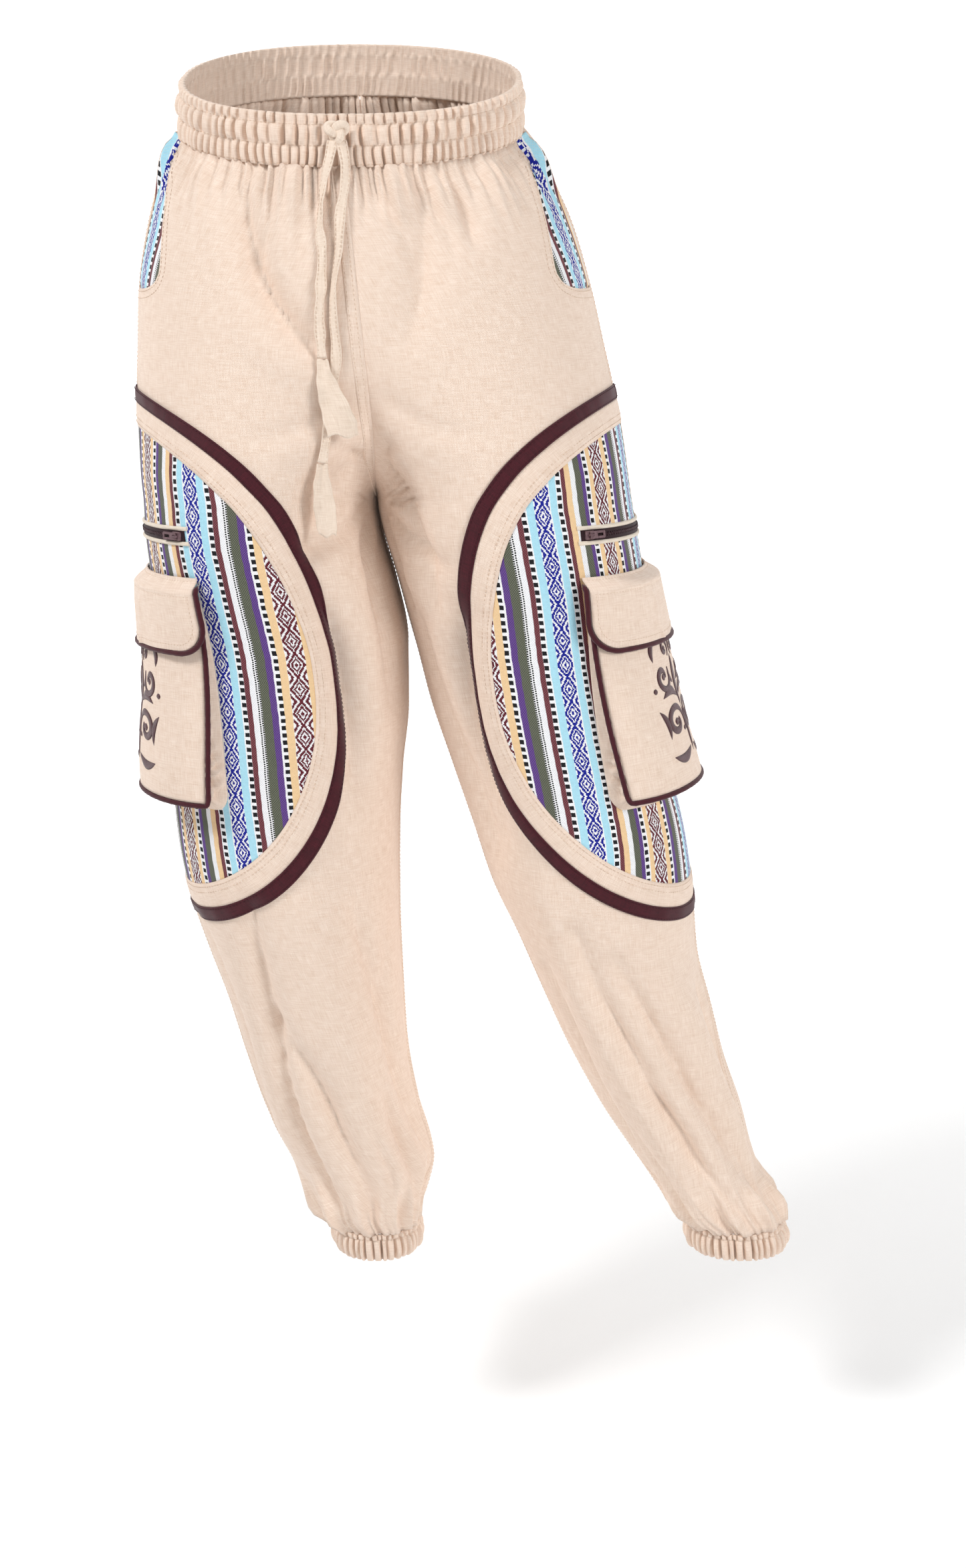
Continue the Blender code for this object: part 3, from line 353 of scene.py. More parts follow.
def travelled(points):
    """How far along a line each of its points lies."""
    return np.concatenate([[0], np.cumsum(np.linalg.norm(np.diff(points, axis=0), axis=1))])


def read_off(places, travel, points):
    """The points at some places along a line."""
    return np.stack([np.interp(places, travel, column) for column in points.T], axis=-1)


def paired(*values):
    """Numbers as the columns of one array."""
    return np.stack(np.broadcast_arrays(*values), axis=-1)


def power(value, exponent):
    """A power that keeps its number's sign."""
    return np.sign(value) * np.abs(value) ** exponent


def smooth_path(route, spacing):
    """Points at even spacing on a smooth curve through a route's own points."""
    route = np.array(route, float) / 1000
    padded = np.concatenate([[2 * route[0] - route[1]], route, [2 * route[-1] - route[-2]]])
    fine = []
    for a, b, c, d in zip(padded, padded[1:], padded[2:], padded[3:]):
        for u in np.linspace(0, 1, 24, endpoint=False):
            fine.append(0.5 * (2 * b + (c - a) * u + (2 * a - 5 * b + 4 * c - d) * u**2
                               + (3 * b - a - 3 * c + d) * u**3))
    fine = np.array(fine + [route[-1]])
    travel = travelled(fine)
    return read_off(np.linspace(0, travel[-1], int(travel[-1] / spacing) + 1), travel, fine)


def grain(tree, scale, detail=2.0):
    """Fine random patches, from 0 to 1, all through a piece."""
    place = node(tree, "TexCoord").outputs["Object"]
    return node(tree, "TexNoise", {"Scale": scale, "Detail": detail, "Vector": place}).outputs["Fac"]


def sewing_thread(name, light, dark):
    """Twisted thread, its colour uneven along the rows."""
    made, tree, shader = material(name, {"Roughness": 0.7, "Specular IOR Level": 0.3})
    feed(tree, shader.inputs["Base Color"], mixed(tree, grain(tree, 900.0), dark, light))
    return made


BEIGE_THREAD = sewing_thread("beige_thread", paint(238, 216, 196), paint(196, 166, 140))
STITCH_PITCH = 0.0033
STITCH_LENGTH = 0.0023
STITCH_THICK = 0.00052
STITCH_FORM = ((-0.5, 0.5, -0.4), (0, 1, 0.15), (0.5, 0.5, -0.4))  # place, girth and rise of each section


def stitches(name, rows, finish, slot):
    """Stitches with sunk ends, all in one mesh. Each row is its points and their outward directions."""
    found = []
    for points, ways in rows:
        travel = travelled(points)
        places = np.arange(STITCH_PITCH / 2, travel[-1] - STITCH_PITCH / 2, STITCH_PITCH)
        before, after = (read_off(places + turn * STITCH_LENGTH / 2, travel, points) for turn in (-1, 1))
        found.append((read_off(places, travel, points), after - before, read_off(places, travel, ways)))
    middle, ahead, up = (np.concatenate(part) for part in zip(*found))
    side = unit(np.cross(up, ahead))
    corners = np.stack([
        middle + ahead * along + STITCH_THICK * (side * across * girth / 2 + up * (out * girth / 2 + rise))
        for along, girth, rise in STITCH_FORM for across, out in ((0, 1), (1, 0), (0, -1), (-1, 0))], axis=1)
    faces = [(4 * k + c, 4 * k + (c + 1) % 4, 4 * k + 4 + (c + 1) % 4, 4 * k + 4 + c)
             for k in range(2) for c in range(4)]
    faces = np.array(faces + [(3, 2, 1, 0), (8, 9, 10, 11)])
    quads = faces[None, :, :] + 12 * np.arange(len(corners))[:, None, None]
    return placed(closed_mesh(name, corners.reshape(-1, 3), quads.reshape(-1, 4), finish), slot)


def tape_tail(name, route, twists, solid, slack):
    """A flat tape along a route. twists are its turns in degrees from the knot to its end."""
    path = smooth_path(route, TAPE_STEP)
    travel = np.linspace(0, 1, len(path))
    turn = np.radians(np.interp(travel, np.linspace(0, 1, len(twists)), twists))[:, None]
    down = unit(np.gradient(path, axis=0))
    across = -unit(np.cross(np.cross(down, [1.0, 0, 0]), down))
    flat = across * np.cos(turn) + np.cross(down, across) * np.sin(turn)
    thick = np.cross(down, flat)
    ring = np.linspace(0, math.tau, TAPE_RING, endpoint=False)
    wide = power(np.cos(ring), 0.75)
    width = TAPE_WIDTH * (1 + slack * 0.12 * np.sin(travel * 31) + slack * 0.07 * np.sin(travel * 57 + 1))
    cup = 0.0005 * np.sin(travel * 23 + slack)
    outer = (path[:, None] + flat[:, None] * (wide * 0.5)[None, :, None] * width[:, None, None]
             + thick[:, None] * (np.sin(ring)[None, :] * TAPE_THICK / 2
                                 + (wide**2)[None, :] * cup[:, None])[..., None])
    length = travelled(path)[-1]
    cloth_map = paired(np.linspace(0, 2 * TAPE_WIDTH, TAPE_RING + 1)[None, :], (travel * length)[:, None])
    inner = path[:, None] + (outer - path[:, None]) * 0.25
    tail = placed(shell(name, outer, inner, cloth_map, TAPE, around=True), "cream_tape", solid)
    rows = [
        (path + flat * (edge * TAPE_SEWING * width)[:, None] + thick * (face * TAPE_THICK / 2), thick * face)
        for edge in (-1, 1) for face in (-1, 1)]
    sewing = stitches(name + "_sewing", rows, BEIGE_THREAD, "cream_tape")
    return tail, path, length, sewing


def raw_end(name, rows, solid, seed):
    """The tape's unsewn end: a soft sheet with a ragged edge."""
    steps = np.linspace(0, len(rows) - 1, 34)
    x, y, z, half, turn = read_off(steps, np.arange(len(rows)), np.array(rows, float)).T[:, :, None]
    steps, turn = steps[:, None], np.radians(turn)
    s = np.linspace(-1, 1, 25)[None, :]
    reach = s * (half + 0.35 * np.sin(steps * 5.1 + seed) * np.abs(s) ** 3)
    curl = 1.2 * (1 - s**2) + 0.5 * np.sin(3.1 * s + steps * 0.8 + seed)
    ragged = 1.4 * (steps / steps[-1]) ** 6 * np.sin(4 * s + seed)
    middle = paired(x + reach * np.cos(turn), y + reach * np.sin(turn) + curl, z - ragged) / 1000
    square = grid_normals(middle) * END_WALL / 2
    sheet = shell(name, middle + square, middle - square, paired(s * 0.012, z / 1000), TAPE)
    return placed(sheet, "cream_tape", solid)


def tied_knot():
    """One overhand knot of the tape, pulled snug."""
    turn = np.linspace(0, math.tau, 121)[:-1]
    path = paired(0.0026 * (np.sin(turn) + 1.75 * np.sin(2 * turn)), 0.0017 * np.sin(3 * turn),
                  0.0024 * (np.cos(turn) - 1.75 * np.cos(2 * turn))) + np.array(KNOT)
    down = unit(np.roll(path, -1, axis=0) - np.roll(path, 1, axis=0))
    side = unit(np.cross(down, [0, 1.0, 0]))
    up = np.cross(side, down)
    ring = np.linspace(0, math.tau, KNOT_RING, endpoint=False)
    outer = (path[:, None] + side[:, None] * (np.cos(ring) * 0.0029)[None, :, None]
             + up[:, None] * (np.sin(ring) * 0.0016)[None, :, None])
    r, c = (grid.ravel() for grid in np.meshgrid(np.arange(len(path)), np.arange(KNOT_RING), indexing="ij"))
    r, c = np.stack([r, r, r + 1, r + 1], axis=-1), np.stack([c, c + 1, c + 1, c], axis=-1)
    quads = (r % len(path)) * KNOT_RING + c % KNOT_RING
    knot = closed_mesh("tied_knot", outer.reshape(-1, 3), quads, TAPE, np.stack([c, r], axis=-1) * 0.0008)
    return placed(knot, "cream_tape", "drawstring_knot")


knot = tied_knot()
short_tail, short_path, short_length, short_sewing = tape_tail(
    "short_tail", SHORT_TAIL, (10, 25, 70, 30, 5, -20, 0, 15), "drawstring_short", slack=1.0)
long_tail, long_path, long_length, long_sewing = tape_tail(
    "long_tail", LONG_TAIL, (-10, -25, 0, 30, 60, 20, 0, -15, -30, 0), "drawstring_long", slack=0.7)
short_end = raw_end("short_raw_end", SHORT_END, "end_short", seed=0.4)
long_end = raw_end("long_raw_end", LONG_END, "end_long", seed=2.1)

# ---------------------------------------------------------------- waistband
# Beige cotton sewn into three channels over elastic, which gathers it: a narrow frill on top, then two
# wider channels. The rows of stitching between them pull the cloth in.
WAIST_HEIGHT = 1.100  # middle of the waist ring above the ground
SQUARENESS = 2.2  # of the body's sections: 2 is an ellipse, more is squarer
SEAM = 0.0003  # between neighbours at a seam
WAIST_TOP = 1.129
WAIST_SEAM = 1.092
# The garment's sections from waist to cuff, in millimetres but for the last columns. rise is how much
# higher a section is for each metre back, and turn the degrees from its outermost line to the side seam.
FORM_COLUMNS = (
    "height", "right_out", "left_out", "right_in", "left_in", "split", "mid_y", "depth", "rise", "turn",
)
FORM = (
    (1130, -124, 131, 2, 2, 0.00, 0, 100, 0.39, -5),
    (1092, -126, 132, 3, 3, 0.00, 0, 102, 0.37, -5),
    (1070, -137, 147, 5, 5, 0.02, 1, 110, 0.32, -5),
    (1030, -152, 169, 9, 9, 0.06, 4, 120, 0.24, -5),
    (980, -163, 186, 13, 13, 0.14, 8, 129, 0.15, -5),
    (940, -166, 196, 16, 16, 0.28, 11, 134, 0.09, -6),
    (900, -168, 206, 19, 19, 0.47, 12, 136, 0.05, -9),
    (860, -167, 214, 21, 21, 0.72, 10, 136, 0.02, -12),
    (835, -166, 218, 20, 20, 0.90, 8, 135, 0.0, -13),
    (815, -164, 221, 19, 19, 1.00, 6, 134, 0.0, -14),
    (790, -163, 225, 22, 24, 1.00, 4, 132, 0.0, -14),
    (750, -159, 231, 33, 36, 1.00, 2, 128, 0.0, -14),
    (700, -153, 236, 42, 49, 1.00, 0, 122, 0.0, -14),
    (650, -150, 243, 42, 62, 1.00, -3, 118, 0.0, -14),
    (600, -149, 254, 37, 79, 1.00, -6, 113, 0.0, -14),
    (550, -146, 267, 34, 96, 1.00, -8, 108, 0.0, -14),
    (500, -138, 275, 33, 113, 1.00, -10, 103, 0.0, -14),
    (450, -124, 280, 34, 136, 1.00, -9, 97, 0.0, -14),
    (400, -109, 294, 36, 157, 1.00, -8, 90, 0.0, -14),
    (350, -96, 307, 39, 179, 1.00, -6, 83, 0.0, -14),
    (300, -81, 324, 48, 206, 1.00, -6, 74, 0.0, -14),
    (255, -59, 337, 60, 236, 1.00, -10, 62, 0.0, -14),
    (229, -44, 348, 52, 257, 1.00, -17, 52, 0.0, -14),
    (215, -36, 356, 47, 267, 1.00, -21, 45, 0.0, -14),
    (203, -26, 361, 48, 278, 1.00, -24, 38, 0.0, -14),
    (179, -21, 363, 47, 282, 1.00, -24, 37, 0.0, -14),
)
SIDES = {"right": -1, "left": 1}
SAMPLES = 361  # points that measure the way round a section
CHANNEL_BLEND = 0.09  # a channel runs into its neighbour over this share of the band, up and down
CHANNEL_ROWS = 24  # of mesh in a whole band's height
WAIST_SEWING = (0.21, 0.60, 0.97)  # its rows, as shares of the way down
SEWN_LIFT = 0.0002  # of a thread's middle over the cloth
SUNK_LIFT = 0.0001  # the same, where the thread sinks into its cloth
COTTON = woven("beige_cotton", paint(244, 226, 211), paint(222, 196, 176), yarn=0.00062, depth=0.00022)


def form(name, height):
    """A column of FORM at any height, on a curve with no overshoot through its rows."""
    place = FORM_COLUMNS.index(name)
    scale = 1.0 if name in ("split", "rise", "turn") else 0.001
    x = np.array([row[0] for row in reversed(FORM)]) * 0.001
    y = np.array([row[place] for row in reversed(FORM)]) * scale
    step = np.diff(x)
    slope = np.diff(y) / step
    product = slope[:-1] * slope[1:]
    mean = 2 * product / np.where(product > 0, slope[:-1] + slope[1:], 1)
    tangent = np.concatenate([slope[:1], np.where(product > 0, mean, 0), slope[-1:]])
    i = np.clip(np.searchsorted(x, height, side="right") - 1, 0, len(x) - 2)
    u = (height - x[i]) / step[i]
    return (y[i] * (1 + 2 * u) * (1 - u) ** 2 + y[i + 1] * u * u * (3 - 2 * u)
            + step[i] * (tangent[i] * u * (1 - u) ** 2 - tangent[i + 1] * u * u * (1 - u)))


def section_point(side, height, angle):
    """The plain form at an angle from the outermost line, negative to the front."""
    split = form("split", height)
    inner = form(side + "_in", height) + SIDES[side] * SEAM / 2
    half_width = np.abs(form(side + "_out", height) - inner) / (1 + split)
    mid_y = form("mid_y", height)
    x = inner + SIDES[side] * half_width * (split + power(np.cos(angle), 2 / SQUARENESS))
    y = mid_y + form("depth", height) * power(np.sin(angle), 2 / SQUARENESS)
    return np.stack([x, y, height - WAIST_HEIGHT + form("rise", height) * (y - mid_y)], axis=-1)


def section(side, height):
    """The angles round a leg's section, and how far along from the side seam each of them lies."""
    split = np.clip(form("split", height), 0, 1)
    limit = math.pi - math.acos(split ** (SQUARENESS / 2))
    angle = np.linspace(-limit, limit, SAMPLES)
    arc = travelled(section_point(side, height, angle))
    return angle, arc - np.interp(math.radians(float(form("turn", height))), angle, arc)


def ease(value):
    """0 below 0, 1 above 1, with a soft step between."""
    value = np.clip(value, 0, 1)
    return value * value * (3 - 2 * value)


def gathers(turn, count, seed):
    """Uneven waves round a ring, from -1 to 1, narrow in their troughs. turn runs from 0 to 1."""
    drift = (0.9 * np.sin(math.tau * (5 * turn + seed)) + 0.7 * np.sin(math.tau * (11 * turn + 1.7 * seed))
             + 0.5 * np.sin(math.tau * (23 * turn + 2.9 * seed)))
    swell = (0.72 + 0.2 * np.sin(math.tau * (17 * turn + seed))
             + 0.16 * np.sin(math.tau * (29 * turn + 2 * seed)))
    wave = np.cos(math.tau * count * turn + drift)
    return swell * (1 - 2.4 * ((1 - wave) / 2) ** 3.2)


def outward(points, ahead):
    """Level directions square to a closed line, away from its middle."""
    ways = unit(np.cross(ahead, [0, 0, 1.0]))
    return -ways if ((points - points.mean(axis=0)) * ways).sum() < 0 else ways


def ring_frame(samples, height, halves):
    """Points and outward directions all round a ring. halves gives the sections that it runs through."""
    chains = []
    for side, backward in halves:
        chain = section_point(side, height, section(side, height)[0])
        chains.append((chain[::-1] if backward else chain)[:-1])
    loop = np.concatenate(chains + [chains[0][:1]])
    travel = travelled(loop)
    ring = read_off(np.arange(samples) / samples * travel[-1], travel, loop)
    return ring, outward(ring, np.roll(ring, -2, axis=0) - np.roll(ring, 2, axis=0)), travel[-1]


def gathered_band(name, halves, levels, channels, samples, wall, fullness):
    """A band over elastic. levels are its free edge's and its seam's heights. Each channel is
    (start, end, waves, depth in mm, bulge in mm, seed), where start and end run from 0 to 1."""
    places = []
    for start, end, *_ in channels:
        rows = max(5, int((end - start) * CHANNEL_ROWS))
        places += list(np.linspace(start, end, rows, endpoint=False))
    places = np.array(places + [1.0])
    turn = np.arange(samples) / samples
    outer, inner, maps = [], [], []
    for place in places:
        ring, ways, length = ring_frame(samples, levels[0] + (levels[1] - levels[0]) * place, halves)
        total, share = np.zeros(samples), np.zeros(samples)
        for start, end, waves, depth, bulge, seed in channels:
            inside = ease((place - start) / CHANNEL_BLEND + 0.5) * ease((end - place) / CHANNEL_BLEND + 0.5)
            u = np.clip((place - start) / (end - start), 0, 1)
            arch = math.sin(math.pi * u) ** 0.6
            slide = 0.0035 * math.sin(3 * u + seed)
            wave = gathers(turn + slide * np.sin(math.tau * 9 * turn) * 0.3, waves, seed)
            total += inside * (bulge * arch + wave * depth * (0.5 + 0.5 * arch))
            share += inside
        lift = (total / np.maximum(share, 1e-3) / 1000)[:, None]
        outer.append(ring + ways * lift)
        inner.append(ring + ways * (lift * 0.35 - wall))
        around = np.arange(samples + 1) / samples * length * fullness
        maps.append(paired(around, (levels[0] - levels[1]) * (1 - place)))
    outer = np.array(outer)
    return shell(name, outer, np.array(inner), np.array(maps), COTTON, around=True), outer


def round_the_band(grid, share):
    """The row of a gathered band's outer face at a share of its height, closed, with its directions."""
    row = grid[int(round(share * (len(grid) - 1)))]
    points = np.concatenate([row, row[:1]])
    ways = outward(points, np.gradient(points, axis=0))
    return points + ways * SEWN_LIFT, ways


WAIST_CHANNELS = (
    (0.0, 0.21, 104, 2.5, 0.2, 0.13),
    (0.21, 0.60, 82, 3.6, 1.2, 0.41),
    (0.60, 1.0, 112, 3.0, 0.8, 0.77),
)
waistband, waist_grid = gathered_band(
    "waistband_cloth", (("right", False), ("left", True)), (WAIST_TOP, WAIST_SEAM - 2 * SEAM), WAIST_CHANNELS,
    samples=1040, wall=0.0028, fullness=1.7)
placed(waistband, "beige_cotton", "waistband")
stitches("waistband_sewing", [round_the_band(waist_grid, share) for share in WAIST_SEWING],
         BEIGE_THREAD, "beige_cotton")

# ---------------------------------------------------------------- legs: front and back panels
# Baggy beige cotton, cut as one front and one back for each leg. They are gathered into the waistband
# and the cuffs, and join at the side seam, the inseam and the centre seam, which is felled and sewn twice.
CLOTH = 0.0012
LOWEST = 0.203
LEG_ROWS = 156
ROW_STEP = (WAIST_SEAM - LOWEST) / LEG_ROWS
HALF_COLUMNS = 110  # grid columns on a front, and as many on a back
# Creases on each leg, as places along and heights in millimetres at their start, middle and end, then
# depth, which is how far the trough goes in and negative for a ridge, and the width in which it fades.
FOLDS = {
    "right": (
        (-112, 1082, -160, 1000, -215, 936, 7, 13), (-160, 960, -190, 930, -228, 915, -4, 16),
        (-250, 850, -215, 815, -190, 770, 5, 16), (-262, 790, -256, 740, -252, 660, 4, 14),
        (-194, 745, -205, 690, -203, 610, 9, 19), (-98, 504, -72, 390, -40, 231, 6, 13),
        (-21, 478, -24, 400, -10, 300, 5, 12), (-78, 400, -96, 320, -72, 231, 5, 12),
        (-140, 500, -130, 380, -108, 249, -6, 18), (-183, 496, -180, 390, -170, 271, 5, 13),
        (-150, 330, -142, 280, -120, 234, 5, 11), (70, 1060, 110, 980, 170, 900, 5, 17),
        (120, 860, 185, 820, 235, 760, 7, 18), (225, 850, 205, 760, 215, 660, 5, 15),
        (60, 490, 84, 400, 66, 249, 6, 14), (150, 500, 134, 400, 112, 249, 6, 14),
        (112, 380, 100, 310, 86, 239, -5, 13), (-140, 1075, -150, 1040, -150, 1005, 1.4, 6),
        (-175, 1080, -180, 1030, -190, 985, 1.2, 7), (-235, 905, -200, 880, -160, 868, 1.4, 9),
        (-270, 815, -225, 792, -180, 786, 3.6, 8), (-290, 800, -262, 770, -225, 752, -1.6, 6),
        (-205, 470, -196, 430, -170, 402, 1.5, 8), (-120, 300, -112, 262, -92, 226, 2.2, 6),
        (-60, 330, -52, 280, -40, 232, 1.8, 7), (-165, 262, -150, 240, -128, 226, 1.8, 6),
        (40, 330, 46, 280, 40, 228, 1.8, 7), (180, 880, 215, 860, 260, 850, 1.6, 8),
        (-272, 836, -250, 850, -224, 858, 3.0, 5), (-276, 800, -262, 776, -254, 744, 3.5, 6),
    ),
    "left": (
        (-150, 1060, -172, 1010, -205, 950, 4, 16), (-110, 1085, -116, 1060, -126, 1030, 4, 9),
        (-262, 850, -238, 800, -226, 740, 5, 16), (-255, 720, -236, 620, -214, 540, 5, 16),
        (-198, 730, -208, 660, -200, 560, 9, 18), (-166, 512, -128, 390, -80, 231, -7, 15),
        (-140, 480, -106, 360, -64, 231, 6, 13), (-107, 456, -66, 350, -30, 249, 6, 13),
        (-60, 440, -34, 360, -12, 269, -5, 13), (-18, 420, -10, 340, 4, 249, 5, 11),
        (-176, 440, -158, 330, -126, 235, 5, 12), (78, 1050, 120, 975, 165, 905, 5, 17),
        (130, 865, 190, 815, 238, 755, 7, 18), (232, 845, 214, 760, 222, 650, 5, 15),
        (72, 486, 80, 390, 58, 245, 6, 14), (150, 505, 140, 395, 106, 249, 6, 14),
        (112, 370, 104, 305, 84, 241, -5, 13), (-140, 1080, -138, 1050, -146, 1020, 1.5, 6),
        (-165, 1082, -172, 1050, -176, 1010, 1.3, 6), (-230, 900, -205, 880, -170, 872, 1.4, 9),
        (-280, 812, -240, 782, -205, 770, 3.6, 8), (-300, 796, -270, 764, -240, 742, -1.6, 6),
        (-96, 330, -74, 276, -52, 228, 2.4, 7), (-130, 300, -112, 262, -92, 228, 2.0, 6),
        (-40, 300, -26, 262, -14, 226, 1.8, 6), (-200, 420, -185, 360, -160, 300, 1.6, 8),
        (-226, 470, -216, 430, -190, 392, 1.4, 9), (36, 330, 44, 280, 38, 228, 1.8, 7),
        (-284, 838, -262, 852, -234, 862, 3.0, 5), (-290, 800, -276, 770, -268, 735, 3.5, 6),
        (185, 880, 220, 860, 265, 850, 1.6, 8),
    ),
}
SEAM_REACH = 0.016  # a crease fades over this distance from the centre seam and the inseam
FRONT_COLUMNS = 10
BACK_COLUMNS = 9
WAIST_GATHERS = (1092, 52, 1.2, 3.2)  # seam height, fade, size at the seam and most, in millimetres
CUFF_GATHERS = (203, 62, 1.4, 4.0)
FINE_GATHERS = (
    (1092, 60, 1.8, 2.6, 37, 1.1), (1092, 40, 1.8, 2.3, 63, 2.3),
    (203, 64, 1.6, 3.4, 19, 0.6), (203, 34, 1.5, 2.2, 37, 1.9),
)


def creases(side, along, height):
    """What a leg's creases add outwards. Each follows a curve through its three places and is strongest in
    its middle. A trough has a narrow line at its bottom."""
    total = np.zeros(along.shape)
    for row in FOLDS[side]:
        places = np.array(row[:6]).reshape(3, 2) / 1000
        depth, width = row[6] / 1000, row[7] / 1000
        low = places.min(axis=0) - 3.2 * width - 0.03
        high = places.max(axis=0) + 3.2 * width + 0.03
        near = (along > low[0]) & (along < high[0]) & (height > low[1]) & (height < high[1])
        if not near.any():
            continue
        a, h = along[near], height[near]
        nearest, travel = np.full(a.shape, 9.0), np.zeros(a.shape)
        for u in np.linspace(0, 1, 41):
            point = np.array([(1 - u) * (1 - 2 * u), 4 * u * (1 - u), u * (2 * u - 1)]) @ places
            away = np.hypot(a - point[0], h - point[1])
            travel = np.where(away < nearest, u, travel)
            nearest = np.minimum(away, nearest)
        strength = 0.25 + 0.75 * np.sin(math.pi * np.clip(0.08 + 0.84 * travel, 0, 1))
        away = nearest / width
        shape = np.exp(-(away**2))
        if depth > 0:
            shape = 1.4 * shape + np.exp(-((away / 0.36) ** 1.3))
        total[near] -= depth * strength * shape
    return total


def seam_gathers(share, height, seam, fade, at_seam, most, seed):
    """The size of the waves that run in from a gathered seam, in metres."""
    away = np.abs(height * 1000 - seam) / fade
    size = (at_seam + (most - at_seam) * ease(away * 4)) * (1 - ease((away - 0.2) / 0.8))
    uneven = 1 + 0.3 * np.sin(7.3 * share + seed) + 0.25 * np.sin(17.0 * share + 2 * seed)
    return size / 1000 * uneven


class Leg:
    """The outer face of one leg's cloth, as a fine grid that other pieces are laid on."""
    def __init__(self, side):
        self.heights = np.linspace(LOWEST, WAIST_SEAM, LEG_ROWS + 1)
        steps = np.linspace(-1, 1, 2 * HALF_COLUMNS + 1)
        plain, along, ends = [], [], []
        for height in self.heights:
            angle, arc = section(side, height)
            along.append(np.where(steps < 0, -steps * arc[0], steps * arc[-1]))
            ends.append((arc[0], arc[-1]))
            plain.append(section_point(side, height, np.interp(along[-1], arc, angle)))
        plain, along, self.ends = np.array(plain), np.array(along), np.array(ends)
        share, height = np.meshgrid(steps, self.heights)
        inward = np.minimum(along - self.ends[:, :1], self.ends[:, 1:] - along)
        relief = creases(side, along, height) * ease(inward / SEAM_REACH)
        waves = np.cos(math.pi * np.where(share < 0, FRONT_COLUMNS, BACK_COLUMNS) * share)
        for gathers_at, seed in ((WAIST_GATHERS, 1), (CUFF_GATHERS, 2)):
            relief += seam_gathers(share, height, *gathers_at, seed) * waves
        for seam, fade, at_seam, most, count, seed in FINE_GATHERS:
            drift = 0.8 * np.sin(9 * share + seed) + 0.6 * np.sin(23 * share + 2 * seed)
            wave = np.cos(math.pi * count * share + drift)
            relief += seam_gathers(share, height, seam, fade, at_seam, most, seed) * (
                wave * 0.6 + 0.4 * np.abs(wave))
        # The cloth's own soft unevenness, in short waves and in long ones.
        across, up = along * 1000, height * 1000
        relief += (0.00028 * np.sin(across / 17 + 1.3 * np.sin(up / 31))
                   * np.sin(up / 23 + 1.1 * np.sin(across / 41)))
        relief += 0.0004 * np.sin(across / 47 + up / 90 + 1.7 * np.sin(up / 61))
        self.point = plain + grid_normals(plain, SIDES[side]) * relief[..., None]
        self.way = grid_normals(self.point, SIDES[side])

    def at(self, along, height, lift=0.0):
        """The point that stands off the cloth by lift, and the outward direction there."""
        along, height, lift = np.broadcast_arrays(along, height, lift)
        r = np.clip((height - self.heights[0]) / ROW_STEP, 0, len(self.heights) - 1.001)
        i = r.astype(int)
        f = (r - i)[..., None]
        front, back = ((self.ends[i] * (1 - f) + self.ends[i + 1] * f)[..., end] for end in (0, 1))
        share = np.clip(np.where(along < 0, -along / front, along / back), -1, 1)
        c = np.clip((share + 1) * HALF_COLUMNS, 0, 2 * HALF_COLUMNS - 0.001)
        j = c.astype(int)
        g = (c - j)[..., None]
        point, way = (
            (grid[i, j] * (1 - g) + grid[i, j + 1] * g) * (1 - f)
            + (grid[i + 1, j] * (1 - g) + grid[i + 1, j + 1] * g) * f for grid in (self.point, self.way))
        way = unit(way)
        return point + way * lift[..., None], way

    def piece(self, name, along, height, low, high, finish, cloth_map=None, around=False):
        """A sewn piece over a grid of places, between two distances from the cloth's face."""
        cloth_map = paired(along, height) if cloth_map is None else cloth_map
        outer, inner = (self.at(along, height, lift)[0] for lift in (high, low))
        return shell(name, outer, inner, cloth_map, finish, around)


LEGS = {side: Leg(side) for side in SIDES}
# The scooped mouth of the hip pocket, from the waist seam down to the side seam: along and height.
SCOOP = ((-22, 1092), (-31, 1076), (-42, 1055), (-55, 1030), (-65, 1005), (-66, 994), (-59, 986),
         (-40, 981), (0, 978))
SCOOP_REACH = 0.092  # the front is drawn in to the scoop within this distance of the side seam
SCOOP_FOOT = (0.976, 0.990)  # where the scoop turns to the side seam, in finer rows
SCOOP_LINE = smooth_path([(a, h, 0) for a, h in SCOOP], 0.0012)[:, :2]
SCOOP_SEWING = (0.0022, 0.0075)  # from the scoop's line towards the front
FELL_LIFT = 0.0006
FELL_SEWING = (0.0014, 0.0062)  # of its two rows, from the near cloth's edge
FORK = 0.816  # where the legs part
OVAL_SPAN = (0.4845, 0.9040)  # the side seam's length that lies under the oval and its tape


def scoop_edge(height):
    """Where the front panel ends at a height."""
    rising = SCOOP_LINE[::-1]
    return np.where(height > rising[0, 1], np.interp(height, rising[:, 1], rising[:, 0]), 0.0) - SEAM / 2


def leg_end(side, height, back):
    """How far along a leg's cloth ends in front, or behind, at a height."""
    return np.interp(height, LEGS[side].heights, LEGS[side].ends[:, int(back)])


def front_panel(side):
    leg = LEGS[side]
    height = np.concatenate([
        np.arange(LOWEST, SCOOP_FOOT[0], ROW_STEP), np.arange(*SCOOP_FOOT, 0.0012),
        np.arange(SCOOP_FOOT[1], WAIST_SEAM, ROW_STEP), [WAIST_SEAM]])[:, None]
    along = (leg_end(side, height, False) + SEAM / 2) * np.linspace(1, 0, HALF_COLUMNS + 1)[None, :]
    near = np.clip(along / SCOOP_REACH + 1, 0, 1)
    along = np.where(near > 0, -SCOOP_REACH + near * (scoop_edge(height) + SCOOP_REACH), along)
    panel = leg.piece(side + "_front_cloth", along, height, -CLOTH, 0.0, COTTON)
    placed(panel, "beige_cotton", side + "_front")


